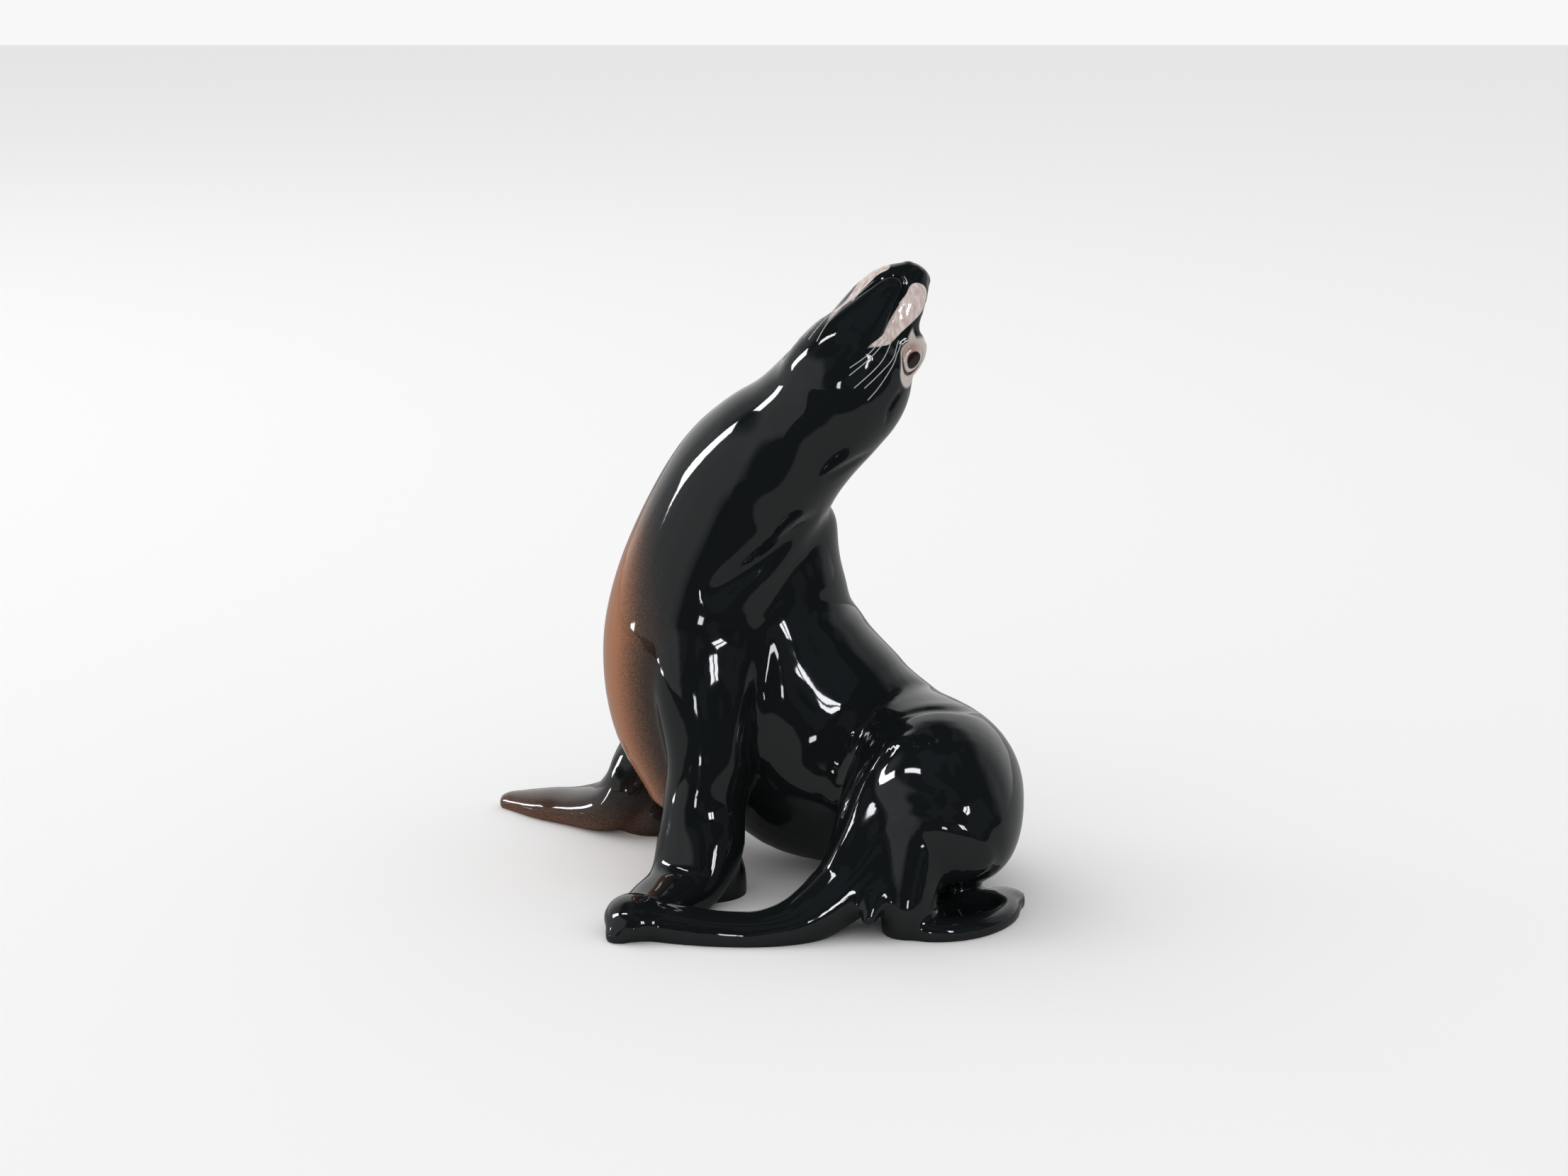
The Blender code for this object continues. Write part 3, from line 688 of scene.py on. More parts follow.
    def dished(self, points: Vec) -> Vec:
        """Hollows the top of the right hind flipper.

        Args:
            points: Places of the skin's vertices.

        Returns:
            The new places, with a rim left round the dish.
        """
        turn = math.radians(self.dish_turn)
        middle = self.dish_middle
        dx, dy = points[:, 0] - middle[0], points[:, 1] - middle[1]
        along = (dx * math.cos(turn) + dy * math.sin(turn)) * 2 / self.dish_length
        across = (dy * math.cos(turn) - dx * math.sin(turn)) * 2 / self.dish_width
        inside = 1 - along ** 2 - across ** 2
        floor = self.dish_floor + (1 - np.clip(inside * 2.2, 0, 1)) * self.fan_height
        height = points[:, 2]
        pressed = (inside > 0) & (height > self.dish_floor) & (height < self.fan_height * 1.1)
        lowered = np.where(pressed, np.minimum(height, floor), height)
        return np.column_stack([points[:, :2], lowered])


def coordinates(obj: bpy.types.Object, what: str = "co") -> Vec:
    """Reads a vector of every vertex.

    Args:
        obj: A mesh object.
        what: The vertices' property, such as co or normal.

    Returns:
        The vectors, one to a row.
    """
    values = np.empty(len(obj.data.vertices) * 3)
    obj.data.vertices.foreach_get(what, values)
    return values.reshape(-1, 3)


def move_to(obj: bpy.types.Object, points: Vec) -> None:
    """Puts the object's vertices at the points.

    Args:
        obj: A mesh object.
        points: The new places, one to a row.
    """
    obj.data.vertices.foreach_set("co", np.ascontiguousarray(points).ravel())
    obj.data.update()


def joined(meshes: list[Mesh], name: str) -> bpy.types.Object:
    """Makes one object that holds all the meshes.

    Args:
        meshes: The meshes, which are freed.
        name: The object's name.

    Returns:
        The object, linked to the scene.
    """
    both = bmesh.new()
    for mesh in meshes:
        part = bpy.data.meshes.new(name + "_mass")
        mesh.to_mesh(part)
        both.from_mesh(part)
        mesh.free()
        bpy.data.meshes.remove(part)
    whole = bpy.data.meshes.new(name)
    both.to_mesh(whole)
    both.free()
    obj = bpy.data.objects.new(name, whole)
    bpy.context.scene.collection.objects.link(obj)
    return obj


def applied(obj: bpy.types.Object) -> bpy.types.Object:
    """Replaces the object's mesh with what its modifiers make of it.

    Args:
        obj: A mesh object with modifiers.

    Returns:
        The same object, without them.
    """
    bpy.context.view_layer.update()
    graph = bpy.context.evaluated_depsgraph_get()
    mesh = bpy.data.meshes.new_from_object(obj.evaluated_get(graph))
    obj.modifiers.clear()
    old, obj.data = obj.data, mesh
    bpy.data.meshes.remove(old)
    return obj


def to_frame(obj: bpy.types.Object, foot: Vec) -> None:
    """Turns an object's millimetres into the metres of the solid's frame.

    Args:
        obj: A finished mesh object.
        foot: The point of the modelling frame that lies at the frame's origin.
    """
    move_to(obj, (coordinates(obj) - foot) * MM)


@dataclass(frozen=True)
class Skin:
    """The one closed body: outer skin, ground soles, casting cavity and vent."""

    trunk: Trunk
    head: Head
    hind: HindQuarters
    front: tuple[FrontFlipper, ...]
    voxel: float = 0.97
    rounds: int = 7
    cavity_voxel: float = 3.2
    cavity_rounds: int = 4
    blends: Blends = (
        ((20, 16, 78), 30, 54), ((-8, -2, 62), 18, 18), ((9, -8, 124), 17, 27),
        ((-1, -12, 47), 14, 23), ((-29, -44, 7), 13, 9), ((32, -44, 19), 15, 20))

    def folds(self) -> list[Fold]:
        """Folds of the trunk's skin, with those of the haunches."""
        return [
            Fold([(12, -2, 93), (9, -6, 90), (3, -9, 85), (-3, -11, 81), (-9, -12.5, 77),
                  (-14, -13, 73)], 3.0, 1.5),
            Fold([(0, -10, 68), (0, -11, 58), (-1, -11.5, 50), (-2, -12.5, 41),
                  (-3.5, -15, 33)], 3.2, 1.05),
            Fold([(25.5, -5.5, 108.6), (23.1, -7.6, 107.6), (20, -8.3, 105.8), (16.9, -8.8, 104.2),
                  (14, -9.5, 102.8)], 1.3, 0.55),
            *self.hind.folds(),
        ]

    def fused(self) -> bpy.types.Object:
        """All masses as one skin, with their joints blended."""
        masses = [*self.trunk.masses(), *self.head.masses(), *self.hind.masses()]
        for flipper in self.front:
            masses += flipper.masses()
        obj = joined(masses, "glazed_body")
        remesh = obj.modifiers.new("fuse", "REMESH")
        remesh.mode = "VOXEL"
        remesh.voxel_size = self.voxel
        smooth = obj.modifiers.new("blend", "SMOOTH")
        smooth.factor = 0.5
        smooth.iterations = self.rounds
        return applied(obj)

    def soften(self, obj: bpy.types.Object, blends: Blends) -> None:
        """Blends the skin further within each of the blends' balls.

        Args:
            obj: The fused skin.
            blends: Each ball's centre and radius, and its rounds of smoothing.
        """
        for centre, radius, rounds in blends:
            group = obj.vertex_groups.new(name="blend")
            gap = np.linalg.norm(coordinates(obj) - centre, axis=1) / radius
            for index in np.flatnonzero(gap < 1):
                group.add([int(index)], 1 - gap[index] ** 2, "REPLACE")
            smooth = obj.modifiers.new("soften", "SMOOTH")
            smooth.factor = 0.5
            smooth.iterations = rounds
            smooth.vertex_group = group.name
            applied(obj)
            obj.vertex_groups.clear()

    def refine(self, obj: bpy.types.Object) -> None:
        """Splits the faces of the head, and those of the eyes, lips and nose once more.

        Args:
            obj: The fused skin.
        """
        for level in range(2):
            mesh = bmesh.new()
            mesh.from_mesh(obj.data)
            mesh.faces.ensure_lookup_table()
            middles = np.array([face.calc_center_median() for face in mesh.faces])
            chosen = self.head.refined(middles)[level]
            edges = {edge for index in np.flatnonzero(chosen) for edge in mesh.faces[index].edges}
            made = bmesh.ops.subdivide_edges(mesh, edges=list(edges), cuts=1, use_grid_fill=True)
            fresh = [item for item in made["geom"] if isinstance(item, bmesh.types.BMVert)]
            for _ in range(3):
                bmesh.ops.smooth_vert(mesh, verts=fresh, factor=0.5, use_axis_x=True, use_axis_y=True,
                                      use_axis_z=True)
            mesh.to_mesh(obj.data)
            mesh.free()

    def grind(self, obj: bpy.types.Object) -> None:
        """Cuts the soles flat at the ground.

        Args:
            obj: The skin.
        """
        mesh = bmesh.new()
        mesh.from_mesh(obj.data)
        bmesh.ops.bisect_plane(mesh, geom=[*mesh.verts, *mesh.edges, *mesh.faces], dist=1e-5,
                               plane_co=(0, 0, 0), plane_no=(0, 0, 1), clear_inner=True)
        rims = [edge for edge in mesh.edges if edge.is_boundary]
        bmesh.ops.holes_fill(mesh, edges=rims, sides=0)
        bmesh.ops.triangulate(mesh, faces=[face for face in mesh.faces if len(face.verts) > 8])
        bmesh.ops.recalc_face_normals(mesh, faces=mesh.faces)
        mesh.to_mesh(obj.data)
        mesh.free()

    def hollow(self, obj: bpy.types.Object) -> bpy.types.Object:
        """Adds the casting cavity inside the skin and cuts the vent through the wall.

        Args:
            obj: The ground skin.

        Returns:
            The hollow body.
        """
        core = joined(self.trunk.cavity(), "cavity")
        remesh = core.modifiers.new("fuse", "REMESH")
        remesh.mode = "VOXEL"
        remesh.voxel_size = self.cavity_voxel
        smooth = core.modifiers.new("blend", "SMOOTH")
        smooth.iterations = self.cavity_rounds
        applied(core)
        both = bmesh.new()
        both.from_mesh(core.data)
        bmesh.ops.reverse_faces(both, faces=both.faces)
        both.from_mesh(obj.data)
        both.to_mesh(obj.data)
        both.free()
        vent = joined([self.trunk.vent()], "vent_cutter")
        cut = obj.modifiers.new("vent", "BOOLEAN")
        cut.operation = "DIFFERENCE"
        cut.object = vent
        applied(obj)
        for helper in (core, vent):
            bpy.data.objects.remove(helper)
        return obj

    def build(self) -> bpy.types.Object:
        """The finished body, still in millimetres in its modelling frame."""
        obj = self.fused()
        LOG.info("skin fused: %d faces", len(obj.data.polygons))
        self.soften(obj, self.blends)
        points = coordinates(obj)
        normals = coordinates(obj, "normal")
        shift = sum(fold.shift(points) for fold in self.folds())
        move_to(obj, self.hind.dished(points + normals * shift[:, None]))
        self.soften(obj, (((*self.hind.dish_middle[:2], 3.0), 17, 9),))
        self.refine(obj)
        self.soften(obj, ((tuple(self.head.posture.in_head(-2)), 30, 13),))
        points = coordinates(obj)
        normals = coordinates(obj, "normal")
        move_to(obj, points + normals * self.head.carving(points)[:, None])
        self.grind(obj)
        obj = self.hollow(obj)
        return obj


@dataclass(frozen=True)
class Paint:
    """The painted fields, each as a distance inside its edge, in millimetres."""

    posture: Posture
    head: Head
    lip_line: tuple[tuple[float, float, float, float], ...] = (
        (19.4, 5.6, -3.2, 2.7), (17.2, 6.4, -3.9, 2.9), (14.8, 6.7, -4.9, 2.7), (10.7, 6.9, -6.2, 2.1),
        (6.8, 7.2, -7.2, 1.5), (4.5, 6.9, -9.0, 1.0), (2.5, 6.3, -10.6, 0.65), (0.6, 5.8, -11.8, 0.5),
        (-0.8, 5.6, -12.4, 0.1))
    lip_reach: dict[Side, float] = field(default_factory=lambda: {Side.LEFT: 1.0, Side.RIGHT: 0.72})
    ring_middle: tuple[float, float] = (5.4, 4.2)
    ring_half: tuple[float, float] = (6.1, 5.1)
    ring_tip: tuple[tuple[float, float, float], ...] = (
        (8.5, 11.5, 1.2), (10.4, 10.8, 0.4), (12.0, 10.3, -0.2))
    outside: float = -3.0

    def lips(self, points: Vec) -> Vec:
        """Distance inside the pale lips, at most 3 mm outside them."""
        inside = np.full(len(points), self.outside)
        half_widths = [row[3] for row in self.lip_line]
        for side in Side:
            path = [self.posture.in_jaw(f, l * side.value, c) for f, l, c, _ in self.lip_line]
            gap, along = near_path(points, path, 7.0)
            place = along * (len(path) - 1)
            width = np.interp(place, np.arange(len(path)), half_widths) * self.lip_reach[side]
            inside = np.maximum(inside, width - gap)
        return inside

    def eye_rings(self, places: Vec) -> Vec:
        """Distance inside the pale field round each eye."""
        f, l, c = places.T
        turns = np.linalg.norm((places[:, [0, 2]] - self.ring_middle) / self.ring_half, axis=1)
        inside = (1 - turns) * min(self.ring_half)
        mirrored = np.stack([f, np.abs(l), c], axis=1)
        tip, along = near_path(mirrored, self.ring_tip, 4.0)
        inside = np.maximum(inside, 1.5 - 1.3 * along - tip)
        return np.where(np.abs(l) > 6, inside, self.outside)

    def pupils(self, places: Vec) -> Vec:
        """Distance inside each pupil."""
        inside = (1 - self.head.eye_rings(places)) * min(self.head.pupil_half)
        return np.where(np.abs(places[:, 1]) > 6, inside, self.outside)

    def lid_lines(self, places: Vec) -> Vec:
        """Distance inside the dark line round each pupil, which is thickest below it."""
        f, l, c = places.T
        below = np.arctan2(c - self.head.pupil[1], f - self.head.pupil[0])
        thick = 0.50 * (0.5 + 0.5 * np.cos(below - 2.9)) ** 0.7 - 0.12
        off = np.abs(self.head.eye_rings(places) - self.head.lid_turns)
        inside = thick - off * min(self.head.pupil_half)
        return np.where(np.abs(l) > 6, inside, self.outside)

    def blush(self, places: Vec) -> Vec:
        """Strength of the brownish pink above and before each pupil."""
        f, l, c = places.T
        spot = np.exp(-((f - 7.2) / 2.3) ** 2 - ((c - 1.5) / 1.8) ** 2)
        return np.where(np.abs(l) > 6, spot, 0.0)

    def brown(self, points: Vec) -> Vec:
        """Distance inside the airbrushed brown of the chest and the right front flipper."""
        from_foot = points - np.array([*self.posture.chest_foot, 0.0])
        f, l, z = from_foot @ self.posture.forward, from_foot @ self.posture.left, points[:, 2]
        width = np.interp(z, [0, 12, 30, 62, 80, 98], [17, 17, 18, 19, 13, 4])
        chest = np.where((f > -4) & (l > -20), width - np.abs(l), -20.0)
        chest = np.minimum(chest, (102 - z) * 0.8)
        flipper = np.where((l < -17) & (z < 32), np.minimum(0.6 * (9 - z), 0.5 * (f - 8)), -20.0)
        return np.clip(np.maximum(chest, flipper), -20, 20)

    def fields(self, points: Vec) -> dict[str, Vec]:
        """Works out every painted field.

        Args:
            points: Places of the body's vertices, in the modelling frame.

        Returns:
            The fields' values by name.
        """
        places = self.posture.head_places(points)
        near = places[:, 0] > -25
        return {
            "lips": self.lips(points),
            "eye_rings": np.where(near, self.eye_rings(places), self.outside),
            "pupils": np.where(near, self.pupils(places), self.outside),
            "lid_lines": np.where(near, self.lid_lines(places), self.outside),
            "blush": np.where(near, self.blush(places), 0.0),
            "brown": self.brown(points),
        }

    def dress(self, obj: bpy.types.Object) -> None:
        """Stores the fields on the body's vertices.

        Args:
            obj: The body, in its modelling frame.
        """
        for name, values in self.fields(coordinates(obj)).items():
            kept = obj.data.attributes.new(name, "FLOAT", "POINT")
            kept.data.foreach_set("value", values.astype(np.float32))


class Nodes:
    """Short hand for building a node tree."""

    def __init__(self, tree: bpy.types.NodeTree) -> None:
        """Empties the tree."""
        self.tree = tree
        tree.nodes.clear()

    def add(self, kind: str, inputs: dict[str | int, object] | None = None,
            **settings: object) -> bpy.types.Node:
        """Adds one node.

        Args:
            kind: The node's type.
            inputs: Values or sockets for its inputs, by name or number.
            settings: Its own properties.

        Returns:
            The node.
        """
        node = self.tree.nodes.new(kind)
        for name, value in settings.items():
            setattr(node, name, value)
        for name, value in (inputs or {}).items():
            self.feed(node.inputs[name], value)
        return node

    def feed(self, socket: Socket, value: object) -> None:
        """Links the value to the socket if it is one, or sets it."""
        if isinstance(value, bpy.types.NodeSocket):
            self.tree.links.new(value, socket)
        else:
            socket.default_value = value

    def math(self, operation: str, a: Socket | float, b: Socket | float = 0.0) -> Socket:
        """The result of one sum on two numbers."""
        return self.add("ShaderNodeMath", {0: a, 1: b}, operation=operation).outputs[0]

    def times(self, a: Socket | float, b: Socket | float) -> Socket:
        """The product of two numbers."""
        return self.math("MULTIPLY", a, b)

    def step(self, value: Socket | float, low: float, high: float) -> Socket:
        """Rises smoothly from 0 at low to 1 at high."""
        node = self.add("ShaderNodeMapRange", {"Value": value, "From Min": low, "From Max": high},
                        interpolation_type="SMOOTHSTEP")
        return node.outputs["Result"]

    def blend(self, share: Socket | float, low: object, high: object) -> Socket:
        """A colour between low and high."""
        node = self.add("ShaderNodeMix", {0: share, 6: low, 7: high}, data_type="RGBA")
        return node.outputs[2]

    def attribute(self, name: str) -> Socket:
        """The value of one of the mesh's attributes."""
        node = self.add("ShaderNodeAttribute", attribute_name=name, attribute_type="GEOMETRY")
        return node.outputs["Fac"]

    def grey(self, value: float) -> tuple[float, float, float, float]:
        """A grey of the given value."""
        return (value, value, value, 1.0)

    def noise(self, vector: Socket, scale: float, detail: float = 2.0, rough: float = 0.5) -> Socket:
        """A noise of the given number of waves to a metre, about 0 to 1."""
        node = self.add("ShaderNodeTexNoise", {"Vector": vector, "Scale": scale, "Detail": detail,
                                               "Roughness": rough})
        return node.outputs[0]


@dataclass(frozen=True)
class Colours:
    """Glazes and paints, in linear light."""

    black: tuple[float, float, float] = (0.0060, 0.0062, 0.0066)
    blue_black: tuple[float, float, float] = (0.0070, 0.0100, 0.0108)
    brown: tuple[float, float, float] = (0.36, 0.145, 0.066)
    dark_brown: tuple[float, float, float] = (0.055, 0.032, 0.022)
    lip: tuple[float, float, float] = (0.55, 0.43, 0.40)
    lip_light: tuple[float, float, float] = (0.74, 0.68, 0.65)
    eye_ring: tuple[float, float, float] = (0.55, 0.50, 0.47)
    blush: tuple[float, float, float] = (0.33, 0.18, 0.13)
    pupil: tuple[float, float, float] = (0.015, 0.009, 0.008)
    lid: tuple[float, float, float] = (0.085, 0.045, 0.035)
    porcelain: tuple[float, float, float] = (0.72, 0.70, 0.66)
    whisker: tuple[float, float, float] = (0.50, 0.51, 0.50)


@dataclass(frozen=True)
class PaintedGlaze:
    """Near-black glaze with airbrushed brown and hand-painted face, over bare soles."""

    colours: Colours = Colours()
    gloss: float = 0.045
    bare_rough: float = 0.75
    edge: float = 0.11
    sole_height: float = 0.00006
    grain_scale: float = 2600.0
    cloud_scale: float = 45.0
    spray_fleck: float = 14.0
    streak_stretch: tuple[float, float, float] = (900.0, 900.0, 260.0)
    wave_scale: float = 75.0
    wave_strength: float = 0.4
    wave_height: float = 0.00025

    def material(self) -> bpy.types.Material:
        """Builds the glaze of the body."""
        material = bpy.data.materials.new("black_glaze")
        material.use_nodes = True
        g, k = Nodes(material.node_tree), self.colours
        place = g.add("ShaderNodeTexCoord").outputs["Object"]
        grain = g.noise(place, self.grain_scale, 3.0, 0.6)
        cloud = g.noise(place, self.cloud_scale, 2.0)
        colour = g.blend(cloud, (*k.black, 1), (*k.blue_black, 1))
        fleck = g.times(g.math("SUBTRACT", grain, 0.5), self.spray_fleck)
        sprayed = g.math("ADD", g.attribute("brown"), fleck)
        colour = g.blend(g.step(sprayed, -4.0, 5.0), colour, (*k.dark_brown, 1))
        colour = g.blend(g.step(sprayed, 1.5, 13.0), colour, (*k.brown, 1))
        stretch = g.add("ShaderNodeVectorMath", {0: place, 1: self.streak_stretch}, operation="MULTIPLY")
        streak = g.noise(stretch.outputs[0], 1.0, 3.0)
        lips = g.blend(g.step(streak, 0.35, 0.7), (*k.lip, 1), (*k.lip_light, 1))
        colour = g.blend(self.inside(g, "lips", self.edge), colour, lips)
        ring = g.blend(g.times(g.attribute("blush"), 0.85), (*k.eye_ring, 1), (*k.blush, 1))
        colour = g.blend(self.inside(g, "eye_rings", 3 * self.edge), colour, ring)
        colour = g.blend(self.inside(g, "lid_lines", 1.4 * self.edge), colour, (*k.lid, 1))
        colour = g.blend(self.inside(g, "pupils", self.edge), colour, (*k.pupil, 1))
        height = g.add("ShaderNodeSeparateXYZ", {0: place}).outputs["Z"]
        sole = g.math("LESS_THAN", height, self.sole_height)
        colour = g.blend(sole, colour, (*k.porcelain, 1))
        rough = g.add("ShaderNodeMix", {0: sole, 2: self.gloss, 3: self.bare_rough},
                      data_type="FLOAT").outputs[0]
        bump = g.add("ShaderNodeBump", {
            "Height": g.noise(place, self.wave_scale, 0.0), "Strength": self.wave_strength,
            "Distance": self.wave_height}).outputs[0]
        shader = g.add("ShaderNodeBsdfPrincipled", {
            "Base Color": colour, "Roughness": rough, "IOR": 1.5, "Normal": bump})
        g.add("ShaderNodeOutputMaterial", {"Surface": shader.outputs[0]})
        return material

    def inside(self, g: Nodes, name: str, edge: float) -> Socket:
        """Share of a painted field, from its distance, with an edge of the given width."""
        return g.step(g.attribute(name), -edge, edge)


@dataclass(frozen=True)
class Whiskers:
    """Thin raised brush lines behind the corners of the mouth."""

    posture: Posture
    colours: Colours = Colours()
    thickness: float = 0.25
    samples: int = 28
    left: tuple[Points, ...] = field(default=(
        [(6.3, 9.0, -4.6), (0.6, 11.4, -8.3), (-5.6, 10.7, -10.2)],
        [(7.2, 9.7, -3.3), (0.4, 12.9, -6.1), (-7.4, 12.6, -8.4)],
        [(7.7, 10.0, -1.9), (4.4, 12.0, -2.5), (-0.1, 13.7, -4.7), (-6.1, 13.8, -6.7)],
        [(7.5, 10.5, -1.2), (3.1, 13.2, -2.5), (-3.2, 14.6, -3.7), (-8.0, 15.0, -4.7)],
        [(5.2, 9.0, -6.0), (0.6, 10.6, -8.9), (-4.0, 10.2, -11.0)]))
    right: tuple[Points, ...] = field(default=(
        [(4.9, -2.8, -11.2), (1.8, -1.8, -13.1), (-3.4, -0.1, -14.5)],
        [(4.4, -3.8, -10.9), (1.0, -3.5, -12.9), (-4.1, -2.7, -14.3)],
        [(4.0, -5.0, -10.6), (0.2, -5.2, -12.4), (-4.6, -5.0, -13.6)],
        [(3.8, -7.0, -9.6), (-0.4, -8.2, -11.2), (-5.6, -8.6, -12.2)],
        [(4.2, -9.0, -7.6), (-0.6, -10.6, -9.0), (-6.4, -11.4, -9.8)]))

    def material(self) -> bpy.types.Material:
        """Off-white paint under the glaze, a little uneven."""
        material = bpy.data.materials.new("whisker_paint")
        material.use_nodes = True
        g, k = Nodes(material.node_tree), self.colours
        place = g.add("ShaderNodeTexCoord").outputs["Object"]
        thin = tuple(0.72 * share for share in k.whisker)
        colour = g.blend(g.noise(place, 900.0), (*thin, 1), (*k.whisker, 1))
        shader = g.add("ShaderNodeBsdfPrincipled", {"Base Color": colour, "Roughness": 0.35})
        g.add("ShaderNodeOutputMaterial", {"Surface": shader.outputs[0]})
        return material

    def strokes(self, body: bpy.types.Object) -> bpy.types.Object:
        """Draws the lines on the skin.

        Args:
            body: The body, in its modelling frame.

        Returns:
            A curve object with one spline to a line, thinner towards its tip.
        """
        skin = BVHTree.FromPolygons([tuple(p) for p in coordinates(body)],
                                    [tuple(face.vertices) for face in body.data.polygons])
        data = bpy.data.curves.new("whiskers", "CURVE")
        data.dimensions = "3D"
        for path in (*self.left, *self.right):
            line = spline([self.posture.in_head(*p) for p in path], self.samples // (len(path) - 1))
            stroke = data.splines.new("POLY")
            stroke.points.add(len(line) - 1)
            for k, (point, kept) in enumerate(zip(line, stroke.points)):
                t = k / (len(line) - 1)
                kept.co = (*skin.find_nearest(Vector(point))[0], 1.0)
                swell = math.sin(math.pi * (0.12 + 0.88 * t) ** 0.7)
                kept.radius = 0.25 + 0.75 * swell if t < 1 else 0.2
        obj = bpy.data.objects.new("whiskers", data)
        bpy.context.scene.collection.objects.link(obj)
        return obj

    def tree(self, paint: bpy.types.Material) -> bpy.types.GeometryNodeTree:
        """Builds the tree that turns lines into raised strokes.

        Args:
            paint: The strokes' material.

        Returns:
            A tree with the line thickness and the number of sides as inputs.
        """
        tree = bpy.data.node_groups.new("brush_strokes", "GeometryNodeTree")
        face = tree.interface
        face.new_socket("Geometry", in_out="INPUT", socket_type="NodeSocketGeometry")
        face.new_socket("Line thickness", in_out="INPUT", socket_type="NodeSocketFloat")
        face.new_socket("Sides", in_out="INPUT", socket_type="NodeSocketInt")
        face.new_socket("Geometry", in_out="OUTPUT", socket_type="NodeSocketGeometry")
        g = Nodes(tree)
        given = g.add("NodeGroupInput").outputs
        half = g.times(given["Line thickness"], 0.5)
        outline = g.add("GeometryNodeCurvePrimitiveCircle", {
            "Resolution": given["Sides"], "Radius": half}).outputs[0]
        tube = g.add("GeometryNodeCurveToMesh", {
            "Curve": given["Geometry"], "Profile Curve": outline, "Fill Caps": True})
        real = g.add("GeometryNodeRealizeInstances", {"Geometry": tube.outputs[0]})
        painted = g.add("GeometryNodeSetMaterial", {"Geometry": real.outputs[0], "Material": paint})
        g.add("NodeGroupOutput", {"Geometry": painted.outputs[0]})
        return tree

    def build(self, body: bpy.types.Object) -> bpy.types.Object:
        """Makes the raised lines.

        Args:
            body: The body, in its modelling frame.

        Returns:
            A plain mesh object, in the same frame.
        """
        lines = self.strokes(body)
        modifier = lines.modifiers.new("strokes", "NODES")
        modifier.node_group = self.tree(self.material())
        values = {"Line thickness": self.thickness, "Sides": 8}
        for item in modifier.node_group.interface.items_tree:
            if item.in_out == "INPUT" and item.name in values:
                modifier[item.identifier] = values[item.name]
        bpy.context.view_layer.update()
        graph = bpy.context.evaluated_depsgraph_get()
        mesh = bpy.data.meshes.new_from_object(lines.evaluated_get(graph))
        bpy.data.objects.remove(lines)
        obj = bpy.data.objects.new("whisker_lines", mesh)
        bpy.context.scene.collection.objects.link(obj)
        mesh.shade_smooth()
        return obj


@dataclass(frozen=True)
class Pane:
    """A bright window of the studio, seen only in the glaze's reflections.

    Its place is the direction from the figurine: turn is 0 in front and -90 to the
    left, rise is above the horizon, and the half sizes are in degrees.
    """

    turn: float
    rise: float
    half_width: float
    half_height: float
    light: float
    lean: float = 0.0
    bars: tuple[float, ...] = ()


